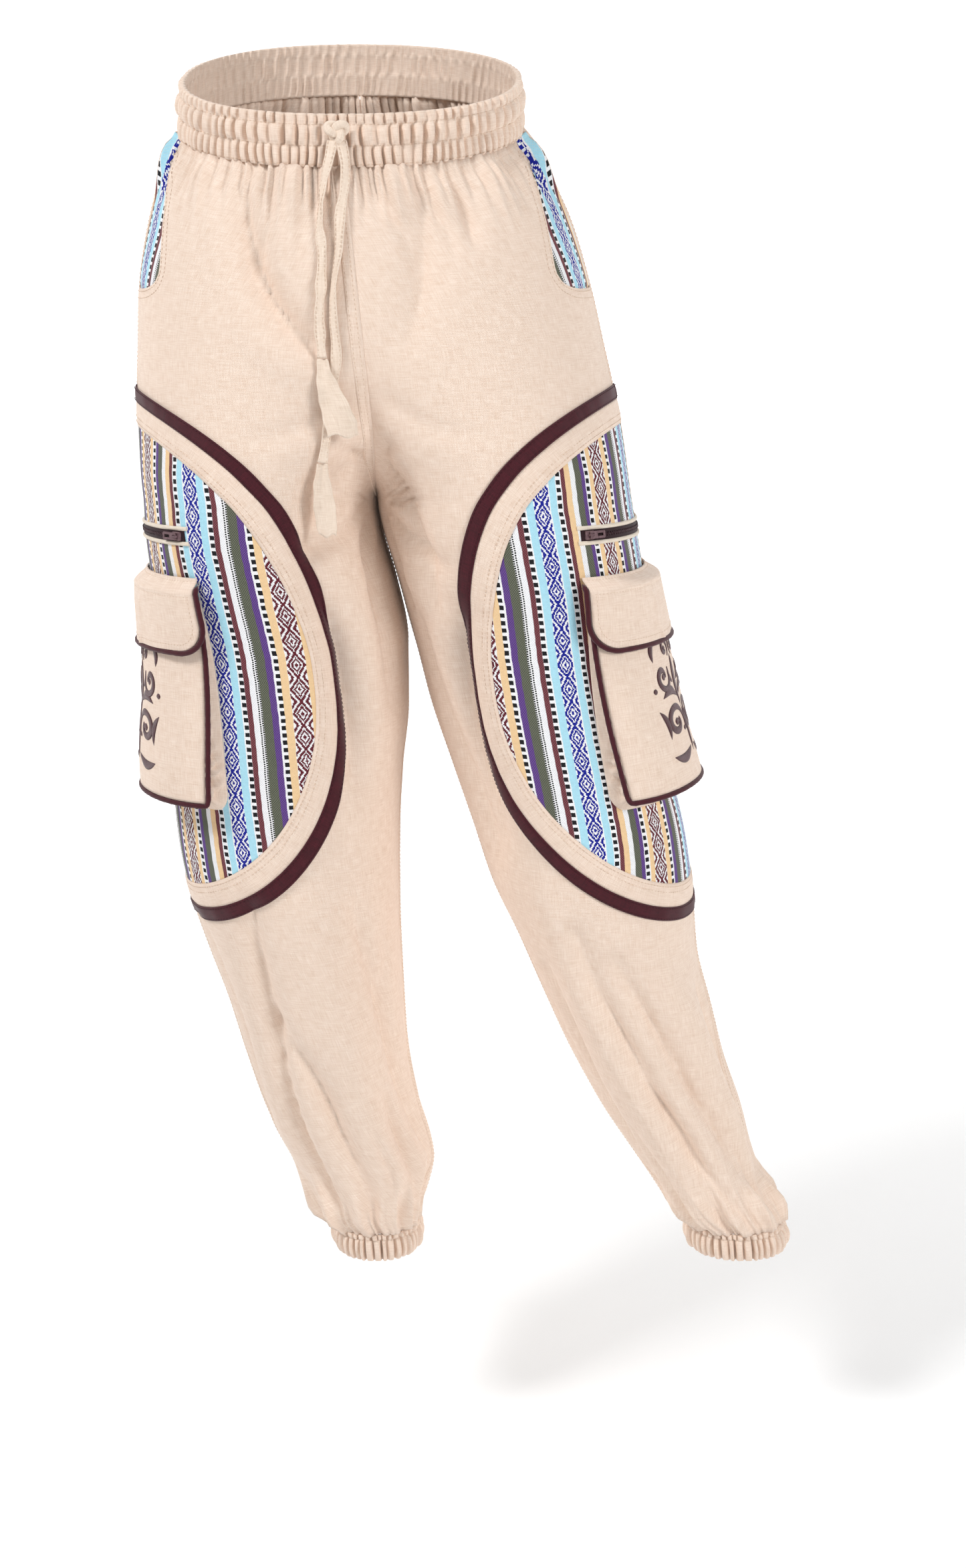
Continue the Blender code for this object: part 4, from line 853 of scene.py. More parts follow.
def back_panel(side):
    leg = LEGS[side]
    back = leg.ends[:, 1:] - SEAM / 2
    along = SEAM / 2 + (back - SEAM / 2) * np.linspace(0, 1, HALF_COLUMNS + 1)[None, :]
    panel = leg.piece(side + "_back_cloth", along, leg.heights[:, None], -CLOTH, 0.0, COTTON)
    placed(panel, "beige_cotton", side + "_back")


def felled_seam(name, height, far, near):
    """A seam folded over and sewn down twice. far and near are (side, along, way inwards): the seam
    starts just over its far cloth's edge and lies on the near cloth."""
    columns = ((far, 0.0014, 0.0002), (near, 0.0004, FELL_LIFT), (near, 0.0022, FELL_LIFT + 0.0002),
               (near, 0.004, FELL_LIFT), (near, 0.0058, FELL_LIFT + 0.0002), (near, 0.0072, FELL_LIFT),
               (near, 0.0078, 0.0002))
    outer, inner = (
        np.stack([LEGS[side].at(along + inward * reach, height, lift if out else -0.0004)[0]
                  for (side, along, inward), reach, lift in columns], axis=1) for out in (True, False))
    reaches = np.array([-columns[0][1]] + [column[1] for column in columns[1:]])
    placed(shell(name, outer, inner, paired(reaches[None, :], height[:, None]), COTTON), "beige_cotton")
    side, along, inward = near
    return [LEGS[side].at(along + inward * reach, height, FELL_LIFT + SEWN_LIFT) for reach in FELL_SEWING]


leg_rows = []
for side in SIDES:
    front_panel(side)
    back_panel(side)
for back in (False, True):
    height = np.arange(FORK, WAIST_SEAM, ROW_STEP)
    inward = -1 if back else 1
    leg_rows += felled_seam(
        "centre_back_seam" if back else "centre_front_seam", height,
        ("left", leg_end("left", height, back), inward), ("right", leg_end("right", height, back), inward))
for side in SIDES:
    height = np.arange(LOWEST, FORK - 0.002, ROW_STEP)
    back, front = leg_end(side, height, True), leg_end(side, height, False)
    leg_rows += felled_seam(side + "_inseam", height, (side, back, -1), (side, front, 1))
    for place, low, high in (("lower", LOWEST, OVAL_SPAN[0]), ("upper", OVAL_SPAN[1], WAIST_SEAM)):
        height = np.arange(low, high, ROW_STEP)
        leg_rows += felled_seam(
            f"{side}_{place}_side_seam", height, (side, 0 * height, -1), (side, 0 * height, 1))
    way = unit(np.gradient(SCOOP_LINE, axis=0))
    for reach in SCOOP_SEWING:
        away = SCOOP_LINE + np.stack([way[:, 1], -way[:, 0]], axis=-1) * reach
        inside = (away[:, 0] < -0.003) & (away[:, 1] < WAIST_SEAM - 0.002)
        leg_rows.append(LEGS[side].at(away[inside, 0], away[inside, 1], SEWN_LIFT))
stitches("leg_sewing", leg_rows, BEIGE_THREAD, "beige_cotton")

# ---------------------------------------------------------------- striped cloth
# A heavy cotton woven in stripes: plain yarns, beaded lines, black and white blocks like a ladder, and two
# white bands with a chain of diamonds. It faces the hip pockets and fills the ovals on the legs.
WHITE = (paint(246, 246, 248), paint(232, 234, 240))
TAN = (paint(240, 203, 152), paint(252, 232, 206))
OLIVE = (paint(72, 76, 62), paint(190, 192, 172))
PURPLE = (paint(80, 38, 124), paint(176, 158, 200))
WINE = (paint(98, 30, 42), paint(190, 150, 152))
SKY = (paint(164, 222, 242), paint(205, 238, 248))
LADDER = (WHITE[0], paint(24, 24, 28))
BEADS = (WHITE[0], paint(24, 26, 24))
WINE_CHAIN = (WHITE[0], WINE[0])
BLUE_CHAIN = (WHITE[0], paint(16, 28, 146))
# One repeat, from the front to the side seam: kind, width in millimetres, ground and figure colours.
STRIPES = (
    ("chain", 14.5, WINE_CHAIN), ("yarn", 5.5, TAN), ("ladder", 5.2, LADDER), ("yarn", 4.6, PURPLE),
    ("yarn", 6.6, OLIVE), ("beads", 4.0, BEADS), ("plain", 3.8, WHITE), ("yarn", 4.0, WINE),
    ("ladder", 4.6, LADDER), ("plain", 5.4, SKY), ("chain", 13.0, BLUE_CHAIN), ("plain", 5.4, SKY),
    ("ladder", 4.8, LADDER), ("yarn", 3.6, WINE), ("yarn", 5.0, TAN), ("plain", 4.2, WHITE),
    ("yarn", 6.0, OLIVE), ("yarn", 3.6, PURPLE), ("ladder", 5.0, LADDER), ("yarn", 4.8, TAN),
)
KINDS = ("plain", "yarn", "ladder", "beads", "chain")
REPEAT = sum(stripe[1] for stripe in STRIPES)
STARTS = np.cumsum([0.0] + [stripe[1] for stripe in STRIPES])[:-1]
WARP_PITCH = 0.85  # of the figured yarns, in millimetres
WEFT_PITCH = 0.95
LADDER_PITCH = 5.7
CHAIN_PITCH = 18.4
BEAD_PITCH = 1.7

stripes, (across, down), stripes_out = node_group("striped_weave", ("Across", "Down"), ("Color", "Height"))
wander = cloud(stripes, across * 60.0, down * 110.0, 1.0) - 0.5
across_mm = across * 1000.0 + wander * 1.2
down_mm = down * 1000.0 + wander * 1.6
in_repeat = across_mm.wrapped(REPEAT)


def stripe_ramp(values):
    """A ramp that holds one colour for each stripe of the repeat."""
    made = node(stripes, "ValToRGB", {"Fac": in_repeat / REPEAT})
    ramp = made.color_ramp
    ramp.interpolation = "CONSTANT"
    for i, (start, value) in enumerate(zip(STARTS, values)):
        stop = ramp.elements[0] if i == 0 else ramp.elements.new(start / REPEAT)
        stop.position = start / REPEAT
        stop.color = value
    ramp.elements.remove(ramp.elements[len(ramp.elements) - 1])
    return made.outputs["Color"]


ground, figure = (stripe_ramp([stripe[2][i] for stripe in STRIPES]) for i in (0, 1))
# A ramp can hold numbers too: each stripe's start, its width and its kind.
facts = stripe_ramp([
    (start / REPEAT, width / REPEAT, KINDS.index(kind) / 10, 1.0)
    for start, (kind, width, _) in zip(STARTS, STRIPES)])
facts = node(stripes, "SeparateColor", {0: facts}).outputs
start_mm, width_mm, kind = (
    Thread(stripes, facts[name]) * scale
    for name, scale in (("Red", REPEAT), ("Green", REPEAT), ("Blue", 10.0)))
# The figures are woven yarn by yarn, so their edges step.
warp, weft = (in_repeat / WARP_PITCH).floor(), (down_mm / WEFT_PITCH).floor()
in_stripe = ((warp + 0.5) * WARP_PITCH - start_mm) / width_mm
from_middle = (in_stripe * 2.0 - 1.0).size()
checker = (warp + weft).wrapped(2.0)
ladder = in_stripe.above(0.08) * in_stripe.below(0.78) * (down_mm / LADDER_PITCH).wrapped(1.0).below(0.58)
bead = (down_mm / BEAD_PITCH + in_stripe.above(0.5) * 0.5).wrapped(1.0).below(0.66)
true_place = (in_repeat - start_mm) / width_mm
beads = bead * true_place.near(0.26, 0.15).either(true_place.near(0.74, 0.15))
link = ((weft + 0.5) * WEFT_PITCH).work("PINGPONG", CHAIN_PITCH / 2) / (CHAIN_PITCH / 2)
reach = from_middle * 1.12 + link
rings = reach.near(1.0, 0.17).either(reach.near(0.56, 0.12))
chain = rings.either(reach.below(0.22)).either(reach.near(1.62, 0.17)) * from_middle.below(0.96)


def of_kind(name):
    return kind.near(float(KINDS.index(name)), 0.4)


amount = (of_kind("yarn") * checker * 0.25 + of_kind("plain") * checker * 0.6 + of_kind("ladder") * ladder
          + of_kind("beads") * beads + of_kind("chain") * chain)
# The ribs rise and dip with the weave. The colour follows them as painted light and shade, lighter where they
# rise and darker where they dip, and it also varies in random worn patches.
ribs = down_mm.wave(WEFT_PITCH * 2) * in_repeat.wave(WARP_PITCH * 2)
worn = cloud(stripes, across_mm * 0.35, down_mm * 0.5)
level = ribs * 0.08 + worn * 0.20 + 0.84
painted_rib_shade_and_wear = node(stripes, "CombineColor", {"Red": level, "Green": level, "Blue": level})
shaded = mixed(stripes, 1.0, mixed(stripes, amount, ground, figure), painted_rib_shade_and_wear.outputs[0], blend_type="MULTIPLY")
feed(stripes, stripes_out["Color"], shaded)
feed(stripes, stripes_out["Height"], ribs * 0.5 + amount * 0.4 + worn * 0.3)

STRIPED, tree, shader = material(
    "striped_cotton", {"Roughness": 0.85, "Sheen Weight": 0.1, "Specular IOR Level": 0.25})
across, down = place_on_cloth(tree)
cloth = node(tree, "Group", {"Across": across, "Down": down}, node_tree=stripes)
dress(tree, shader, cloth.outputs["Color"], cloth.outputs["Height"], 0.6, 0.00025)

# Where the first white band starts on each leg, along, at heights from the oval's foot to its top: the
# cloth is bent to the leg, so its stripes run a little aslant.
STRIPE_HEIGHTS = (520, 562, 644, 716, 778, 822, 870)
STRIPE_STARTS = {
    "left": (-182, -181, -177.5, -183, -188.5, -191, -192),
    "right": (-167, -168, -168.5, -168.5, -170, -171.5, -173),
}
STRIPE_LEVEL = 0.69  # the slant is measured from this height


def stripe_map(side, along, height):
    """Places in the striped cloth under places on the leg."""
    line = np.polyfit(np.array(STRIPE_HEIGHTS) / 1000 - STRIPE_LEVEL, np.array(STRIPE_STARTS[side]) / 1000, 3)
    return paired(along - np.polyval(line, height - STRIPE_LEVEL) + 3 * REPEAT / 1000, height)


# ---------------------------------------------------------------- hip pockets
# Each scooped mouth is turned under and topstitched. Behind it lies the pocket's facing, cut from the
# striped cloth, which sinks in behind the mouth and joins the back at the side seam.
FACING_ROWS = ((966, -38), (978, -70), (1000, -76), (1030, -68), (1055, -56), (1091.7, -40))
FACING_HEIGHTS = (0.966, 1.0917)
FACING_SHIFT = {"right": -0.0735, "left": -0.0855}  # of the stripes, to the side seam
FACING_DEEP = 0.0018  # behind the leg's face
FACING_RISE = 0.0016  # how much nearer it comes at the side seam
FACING_SAG = 0.0016  # how much deeper its free part hangs
FACING_LEAN = 0.018  # of its stripes at the waist, towards the front
FACING_WALL = 0.001


def hip_facing(side):
    rows = np.array(FACING_ROWS) / 1000
    foot, top = FACING_HEIGHTS
    height = np.append(np.arange(foot, top - 0.001, 0.002), top)[:, None]
    front = np.interp(height, rows[:, 0], rows[:, 1])
    along = front + (-SEAM / 2 - front) * np.linspace(0, 1, 41)[None, :]
    edge = scoop_edge(height)
    inside = np.clip((edge - along) / np.minimum(edge, -0.004), 0, 1)
    sag = FACING_SAG * np.sin(math.pi * np.clip((height - 0.975) / 0.12, 0, 1)) * (1 - inside) ** 2
    high = FACING_RISE * ease((inside - 0.35) / 0.65) * (height > 0.979) - FACING_DEEP - sag
    cloth_map = stripe_map(side, along, STRIPE_LEVEL + 0 * height)
    cloth_map[..., 0] += FACING_SHIFT[side] - FACING_LEAN * ease((height - 1.02) / 0.065)
    cloth_map[..., 1] = height
    facing = LEGS[side].piece(
        side + "_hip_pocket_facing", along, height, high - FACING_WALL, high, STRIPED, cloth_map)
    placed(facing, "striped_cotton", side + "_hip_facing")


for side in SIDES:
    hip_facing(side)

# ---------------------------------------------------------------- ovals
# A big oval of striped cloth over each side seam, its edge under a curved band of the beige cotton, sewn
# twice along its inner edge. A maroon tape runs outside the band, edge-stitched, and stops at the seam.
OVAL_MIDDLE = 0.694
OVAL_SQUARENESS = 2.3
PANEL_HALF = (0.174, 0.181)
PANEL_TURNS = 220  # of its mesh, and its rings as shares of the way out, closer at its edge
PANEL_RINGS = np.concatenate([[0.03], np.linspace(0.06, 0.9, 24), np.linspace(0.92, 1.0, 6)])
BAND_WIDTH = 0.0175
STRIP_WIDTH = 0.011
SIDE_SEAM_WIDTH = 0.007  # left free between the tape's front and back lengths
# How far each layer's underside and top stand off the leg's cloth.
OVAL_LIFTS = (0.0001, 0.0007)
BAND_LIFTS = (0.0009, 0.0015)
TAPE_LIFTS = (0.0013, 0.0021)
UNDER = 0.0004  # a strip's underside sinks this much below its edges
BAND_SEWING = (0.0016, 0.0058)  # outsets of its two rows
MAROON_SEWING = 0.0013  # from each of the tape's edges
MAROON_JOIN = 0.0004  # from the middle line to the tape's ends at the top of the oval
MAROON = woven("maroon_cotton", paint(80, 18, 32), paint(50, 9, 18), yarn=0.00045, depth=0.00012,
               roughness=0.8, sheen=0.2)
MAROON_THREAD = sewing_thread("maroon_thread", paint(70, 20, 32), paint(40, 9, 17))


def turned_edges(v, roundness):
    """The bulge across a strip whose edges are turned under, from 0 to 1. v runs across it."""
    return np.sin(math.pi * np.clip(v, 0.02, 0.98)) ** roundness


def oval(outset, turn):
    """Places along and in height on an oval that lies outset from the striped panel's edge."""
    along = (PANEL_HALF[0] + outset) * power(np.cos(turn), 2 / OVAL_SQUARENESS)
    height = OVAL_MIDDLE + (PANEL_HALF[1] + outset) * power(np.sin(turn), 2 / OVAL_SQUARENESS)
    return along, height


def even_oval(count, start=0.0, end=math.tau, outset=0.0):
    """Turns that step evenly along the oval between two turns."""
    fine = np.linspace(start, end, 6001)
    travel = travelled(paired(*oval(outset, fine)))
    return np.interp(np.linspace(0, travel[-1], count), travel, fine)


def side_panel(side):
    share = PANEL_RINGS[:, None]
    along, height = oval(0.0, even_oval(PANEL_TURNS + 1)[:-1])
    along, height = along * share, OVAL_MIDDLE + (height - OVAL_MIDDLE) * share
    cloth_map = stripe_map(side, along, height)
    cloth_map = np.concatenate([cloth_map, cloth_map[:, :1]], axis=1)
    panel = LEGS[side].piece(
        side + "_striped_oval", along, height, *OVAL_LIFTS, STRIPED, cloth_map, around=True)
    placed(panel, "striped_cotton", side + "_side_panel")


def ring_strip(name, side, turn, outsets, lifts, finish, around=False):
    """A strip that follows the oval between two outsets, its edges turned under."""
    v = np.linspace(0, 1, 9)[:, None]
    outset = outsets[0] + (outsets[1] - outsets[0]) * v
    bulge = turned_edges(v, 0.45)
    along, height = oval(outset, turn[None, :])
    high = lifts[0] + (lifts[1] - lifts[0] + 0.00018 * np.sin(turn * 61 + 1.3 * np.sin(turn * 13))) * bulge
    travel = travelled(paired(along, height)[len(v) // 2])
    if around:
        travel = np.append(travel, travel[-1] + travel[1])
    cloth_map = paired(travel[None, :], outset)
    return LEGS[side].piece(name, along, height, lifts[0] - UNDER, high, finish, cloth_map, around)


def oval_band(side):
    band = ring_strip(side + "_oval_band", side, even_oval(401)[:-1], (-0.0012, BAND_WIDTH + 0.0004),
                      BAND_LIFTS, COTTON, around=True)
    placed(band, "beige_cotton", side + "_band")


def oval_tape(side):
    """The tape's front length and its back length."""
    outset = BAND_WIDTH + STRIP_WIDTH / 2
    wide = PANEL_HALF[0] + outset
    back_end = math.asin((SIDE_SEAM_WIDTH / wide) ** (OVAL_SQUARENESS / 2))
    join = MAROON_JOIN / wide
    spans = {"front": (math.pi / 2 + join, 3 * math.pi / 2 - join),
             "back": (back_end - math.pi / 2, math.pi / 2 - back_end)}
    for place, (start, end) in spans.items():
        tape = ring_strip(f"{side}_{place}_maroon_tape", side, even_oval(221, start, end, outset),
                          (BAND_WIDTH, BAND_WIDTH + STRIP_WIDTH), TAPE_LIFTS, MAROON)
        placed(tape, "maroon_cotton", side + "_strip")


for side in SIDES:
    side_panel(side)
    oval_band(side)
    oval_tape(side)
turn = even_oval(900)
beige_rows, maroon_rows = [], []
for side in SIDES:
    for outset in BAND_SEWING:
        beige_rows.append(LEGS[side].at(*oval(outset, turn), BAND_LIFTS[1] + SUNK_LIFT))
    for outset in (BAND_WIDTH + MAROON_SEWING, BAND_WIDTH + STRIP_WIDTH - MAROON_SEWING):
        along, height = oval(outset, turn)
        for part in (along < -0.001, along > SIDE_SEAM_WIDTH + 0.001):
            shift = int(np.argmin(part)) if part[0] else 0
            places = np.roll(np.stack([along, height]), -shift, axis=1)[:, np.roll(part, -shift)]
            maroon_rows.append(LEGS[side].at(*places, TAPE_LIFTS[1] + SUNK_LIFT))
stitches("band_sewing", beige_rows, BEIGE_THREAD, "beige_cotton")
stitches("tape_sewing", maroon_rows, MAROON_THREAD, "maroon_cotton")

# ---------------------------------------------------------------- zips
# A short zip above each cargo pocket, closed, between two thin off-white welts. The slider and its flat
# pull tab are cast metal with a dull mauve-brown coat.
ZIP_HEIGHT = 0.7945
ZIP_ENDS = (-0.097, 0.048)
ZIP_HALF = 0.0040
WELT = 0.0030
TOOTH_PITCH = 0.0016
TOOTH_HALF = np.array([0.00042, 0.0011, 0.00035])
TOOTH_LIFT = 0.0021
TOOTH_SHIFT = 0.0003  # up and down by turns
COIL_ENDS = (ZIP_ENDS[0] + 0.012, ZIP_ENDS[1] - 0.002)
ZIP_LIFTS = (0.0013, 0.0017)
WELT_LIFTS = (0.0013, 0.0027)
ZIP_TAPE = woven("zip_tape", paint(50, 18, 27), paint(28, 9, 15), yarn=0.0004, depth=0.0001,
                 roughness=0.75, sheen=0.1)
WELT_COTTON = woven(
    "off_white_cotton", paint(238, 228, 214), paint(214, 198, 178), yarn=0.0005, depth=0.00015)


def straight_strip(name, side, ends, edges, lifts, finish):
    """A strip that runs along the leg between two heights, its edges turned under."""
    v, u = np.linspace(0, 1, 9)[:, None], np.linspace(0, 1, 97)[None, :]
    bulge = turned_edges(v, 0.5) * np.clip(np.sin(math.pi * u) * 25, 0.2, 1) ** 0.5
    along, height = ends[0] + (ends[1] - ends[0]) * u, edges[0] + (edges[1] - edges[0]) * v
    high = lifts[0] + (lifts[1] - lifts[0]) * bulge
    return LEGS[side].piece(name, along, height, lifts[0] - UNDER, high, finish)


def zip_teeth(side):
    """The coil's turns, which meet along the zip's middle line."""
    box = np.array([(x, y, z) for z in (-1, 1) for y in (-1, 1) for x in (-1, 1)]) * TOOTH_HALF
    faces = np.array([(0, 2, 3, 1), (4, 5, 7, 6), (0, 1, 5, 4), (2, 6, 7, 3), (0, 4, 6, 2), (1, 3, 7, 5)])
    along = np.arange(*COIL_ENDS, TOOTH_PITCH)[:, None]
    turn = np.arange(len(along))[:, None]
    height = ZIP_HEIGHT + TOOTH_SHIFT * (-1.0) ** turn
    points = LEGS[side].at(along + box[:, 0], height + box[:, 1], TOOTH_LIFT + box[:, 2])[0]
    quads = (faces + 8 * turn[..., None]).reshape(-1, 4)
    placed(closed_mesh(side + "_zip_teeth", points.reshape(-1, 3), quads, ZIP_COIL), "zip_tape")


def worn_metal(name, base, rubbed, roughness):
    """Coated cast metal, rubbed lighter in soft patches."""
    made, tree, shader = material(name, {"Metallic": 0.55})
    patches = grain(tree, 420.0, 4.0)
    feed(tree, shader.inputs["Base Color"], mixed(tree, patches, base, rubbed))
    feed(tree, shader.inputs["Roughness"], Thread(tree, patches) * 0.3 + roughness)
    return made


ZIP_COIL = worn_metal("zip_coil", paint(40, 13, 20), paint(66, 28, 38), roughness=0.34)
ZIP_METAL = worn_metal("zip_slider_metal", paint(92, 66, 72), paint(150, 122, 126), roughness=0.28)
for side in SIDES:
    zip_edges = (ZIP_HEIGHT - ZIP_HALF, ZIP_HEIGHT + ZIP_HALF)
    zip_tape = straight_strip(side + "_zip_tape", side, ZIP_ENDS, zip_edges, ZIP_LIFTS, ZIP_TAPE)
    placed(zip_tape, "zip_tape", side + "_zip")
    welt_ends = (ZIP_ENDS[0] - WELT, ZIP_ENDS[1] + WELT)
    for place, low in (("upper", zip_edges[1]), ("lower", zip_edges[0] - WELT)):
        welt = straight_strip(
            f"{side}_zip_{place}_lip", side, welt_ends, (low, low + WELT), WELT_LIFTS, WELT_COTTON)
        placed(welt, "off_white_cotton", f"{side}_welt_{place}")
    zip_teeth(side)
    for name in (side + "_zip_slider", side + "_pull_tab"):
        for slot in bpy.data.objects[name].material_slots:
            slot.material = ZIP_METAL

# ---------------------------------------------------------------- cargo pockets
# A beige pocket that stands off the leg on a folded bellows, under a flap with round corners. Maroon
# piping edges both. The flap is sewn twice along its top, and topstitched inside its piping.
POCKET_MIDDLE = -0.010
POCKET_HALF = 0.088
POCKET_DRAW = 0.010  # how much nearer its lower corners come, where the bellows stands out
POCKET_HEIGHTS = (0.752, 0.594)
POCKET_TALL = POCKET_HEIGHTS[0] - POCKET_HEIGHTS[1]
POCKET_LIFT = (0.0070, 0.0165)  # how far its edge stands off the cloth, at the mouth and at the bottom
POCKET_CROWN = (0.0045, 0.0125)  # how much further its middle stands off, at the mouth and at the bottom
POCKET_WALL = 0.0012
BELLOWS_STEP = 0.002  # of mesh along it
BELLOWS_CUT = 0.028  # its width in the flat
BELLOWS_ROWS = 15
BELLOWS_WALL = 0.0009
BELLOWS_FOOT = 0.0016  # how far its foot stands off the cloth
PIPING = 0.0020  # radius
PIPING_RING = 14
FLAP_HEIGHTS = (0.764, 0.711)
FLAP_HALF = 0.091
FLAP_CORNER = 0.021
FLAP_CLEAR = 0.0047
FLAP_SEAM_LIFT = 0.0028
FLAP_RISE = 0.0100
FLAP_WALL = 0.0015
FLAP_FACE = 0.0008  # from its middle layer to its face
FLAP_SEWING = (0.0022, 0.0120)  # of the two rows along its top, down from its edge
FLAP_INSET = 0.0045  # of the row inside its piping
FLAP_PIPED = 0.7595  # its piping starts at this height


def pocket_down(height):
    """How far down the pocket a height lies, from 0 at its mouth to 1."""
    return np.clip((POCKET_HEIGHTS[0] - height) / POCKET_TALL, 0, 1)


def pocket_edge(down):
    return POCKET_HALF - POCKET_DRAW * down


def pocket_lift(across, height):
    """How far the pocket's front stands off the cloth: across from -1 to 1."""
    down = pocket_down(height)
    edge, most = (low + (high - low) * down for low, high in (POCKET_LIFT, POCKET_CROWN))
    return edge + most * (1 - np.clip(np.abs(across), 0, 1) ** 2) * (0.4 + 0.6 * np.sin(math.pi * down * 0.8))


def pocket_surface(along, height):
    """The front's outer face with its soft dents, as a lift off the leg."""
    down = pocket_down(height)
    across = (along - POCKET_MIDDLE) / pocket_edge(down)
    inside = np.clip((1 - np.abs(across)) * 6, 0, 1) * np.clip((1 - down) * 8, 0, 1)
    x, y = along * 1000, height * 1000
    dents = 0.0006 * np.sin(x / 19 + 1.2 * np.sin(y / 27)) * np.sin(y / 33 + 0.8)
    dents = dents + 0.0005 * np.sin(x / 8.3 + y / 37 + 1.5 * np.sin(y / 21))
    return pocket_lift(across, height) + POCKET_WALL / 2 + dents * inside


def pocket_front(side):
    across, down = np.meshgrid(np.linspace(-1, 1, 81), np.linspace(0, 1, 71))
    height = POCKET_HEIGHTS[0] - POCKET_TALL * down
    along = POCKET_MIDDLE + across * pocket_edge(down)
    surface = pocket_surface(along, height)
    front = LEGS[side].piece(side + "_cargo_pocket", along, height, surface - POCKET_WALL, surface, COTTON)
    placed(front, "beige_cotton", side + "_pocket")


def pocket_outline(spacing):
    """The outline from the mouth's front end round to its back end: across, down and the outward
    direction along and in height, its lower corners rounded."""
    corner = [(1 - 0.03 * (1 - t / (math.pi / 2)), math.cos(t), -math.sin(t))
              for t in np.linspace(0, math.pi / 2, 9)[1:-1]]
    front = [(-1, d, -1, 0) for d in np.linspace(0.03, 0.965, max(3, int(POCKET_TALL / spacing)))]
    front += [(-1, d, -out, up) for d, out, up in corner]
    foot = [(a, 1, 0, -1) for a in np.linspace(-0.97, 0.97, int(1.8 * POCKET_HALF / spacing))]
    return np.array(front + foot + [(-a, d, -out, up) for a, d, out, up in front[::-1]], float)


def outline_point(side, rows, outset, lift):
    down = rows[:, 1]
    along = POCKET_MIDDLE + rows[:, 0] * pocket_edge(down) + rows[:, 2] * outset
    height = POCKET_HEIGHTS[0] - POCKET_TALL * down + rows[:, 3] * outset
    return LEGS[side].at(along, height, lift)[0]


def pocket_bellows(side):
    """The folded strip between the leg and the pocket's edge, crumpled at its lower corners."""
    rows = pocket_outline(BELLOWS_STEP)
    down = rows[:, 1]
    top = pocket_lift(rows[:, 0], POCKET_HEIGHTS[0] - POCKET_TALL * down) - 0.0004
    foot_out = POCKET_DRAW * down * 0.9
    travel = np.arange(len(rows)) * BELLOWS_STEP
    corner = np.exp(-((down - 0.9) / 0.16) ** 2) * (np.abs(rows[:, 0]) > 0.9)
    crumple = 0.0005 + 0.0026 * corner
    levels = []
    for v in np.linspace(0, 1, BELLOWS_ROWS):
        fold = math.sin(math.pi * v)
        outset = 0.0006 * (1 - v) + (foot_out + 0.0004) * v**1.5 - (0.0008 + foot_out * 0.25) * fold
        wave = np.sin(travel * 520 + 6 * v + 1.5 * np.sin(travel * 140)) * crumple * fold
        wave += 0.0018 * corner * fold * np.sin(travel * 230 - 9 * v)
        levels.append(outline_point(side, rows, outset + wave, top * (1 - v) + BELLOWS_FOOT * v))
    outer = np.array(levels)
    square = grid_normals(outer)
    if ((outer - outer.mean(axis=(0, 1))) * square).sum() < 0:
        square = -square
    cloth_map = paired(travel[None, :], np.linspace(0, BELLOWS_CUT, BELLOWS_ROWS)[:, None])
    strip = shell(side + "_pocket_bellows", outer, outer - square * BELLOWS_WALL, cloth_map, COTTON)
    placed(strip, "beige_cotton", side + "_bellows")


def piping(name, path, radius, finish):
    """A round cord in a bias cover, with soft unevenness and closed round ends."""
    down = unit(np.gradient(path, axis=0))
    side = unit(np.cross(down, [0.3, 0.2, 1.0]))
    for i in range(1, len(side)):
        side[i] = unit(side[i - 1] - down[i] * (side[i - 1] @ down[i]))
    up = np.cross(down, side)
    ring = np.linspace(0, math.tau, PIPING_RING, endpoint=False)[None, :, None]
    travel = travelled(path)
    end = np.clip(np.minimum(travel, travel[-1] - travel) / radius, 0.03, 1)
    thick = radius * np.sqrt(end * (2 - end))
    thick *= 1 + 0.04 * np.sin(travel * 900) + 0.03 * np.sin(travel * 470 + 1)
    outer = path[:, None] + (side[:, None] * np.cos(ring) + up[:, None] * np.sin(ring)) * thick[:, None, None]
    cloth_map = paired(np.linspace(0, math.tau * radius, PIPING_RING + 1)[None, :], travel[:, None])
    return shell(name, outer, path[:, None] + (outer - path[:, None]) * 0.2, cloth_map, finish, around=True)


def pocket_piping(side):
    rows = pocket_outline(0.0025)
    height = POCKET_HEIGHTS[0] - POCKET_TALL * rows[:, 1]
    path = outline_point(side, rows, PIPING + SEAM, pocket_lift(rows[:, 0], height))
    placed(piping(side + "_pocket_cord_edge", path, PIPING, MAROON), "maroon_cotton", side + "_pocket_piping")


def flap_outline(height):
    """Half width of the flap at a height: straight sides, with round lower corners."""
    left = np.clip(height - FLAP_HEIGHTS[1], 0, FLAP_CORNER)
    return FLAP_HALF - FLAP_CORNER + np.sqrt(np.maximum(FLAP_CORNER**2 - (FLAP_CORNER - left) ** 2, 0))


def flap_lift(across, height):
    """How far the flap stands off: sewn down at its top edge, and over the pocket's mouth below it."""
    open_part = ease((FLAP_HEIGHTS[0] - height) / FLAP_RISE)
    return FLAP_SEAM_LIFT + (pocket_lift(across, height) + FLAP_CLEAR - FLAP_SEAM_LIFT) * open_part


def flap_surface(along, height):
    """The flap's outer face, with the crease near its front and the grooves of its sewing."""
    x = (along - POCKET_MIDDLE) * 1000
    down = (FLAP_HEIGHTS[0] - height) * 1000
    crease = 0.0019 * np.exp(-(((x + 26 - 0.10 * down) / 3.2) ** 2)) * ease((down - 13) / 8)
    grooves = 0.0003 * sum(np.exp(-(((down - 1000 * row) / 0.8) ** 2)) for row in FLAP_SEWING)
    soft = 0.0005 * np.sin(x / 14 + 0.9) * np.sin(down / 13) + 0.0003 * np.sin(x / 6.3 + down / 19)
    lift = flap_lift((along - POCKET_MIDDLE) / POCKET_HALF, height)
    return lift + FLAP_FACE + crease - grooves + soft * ease(down / 15)


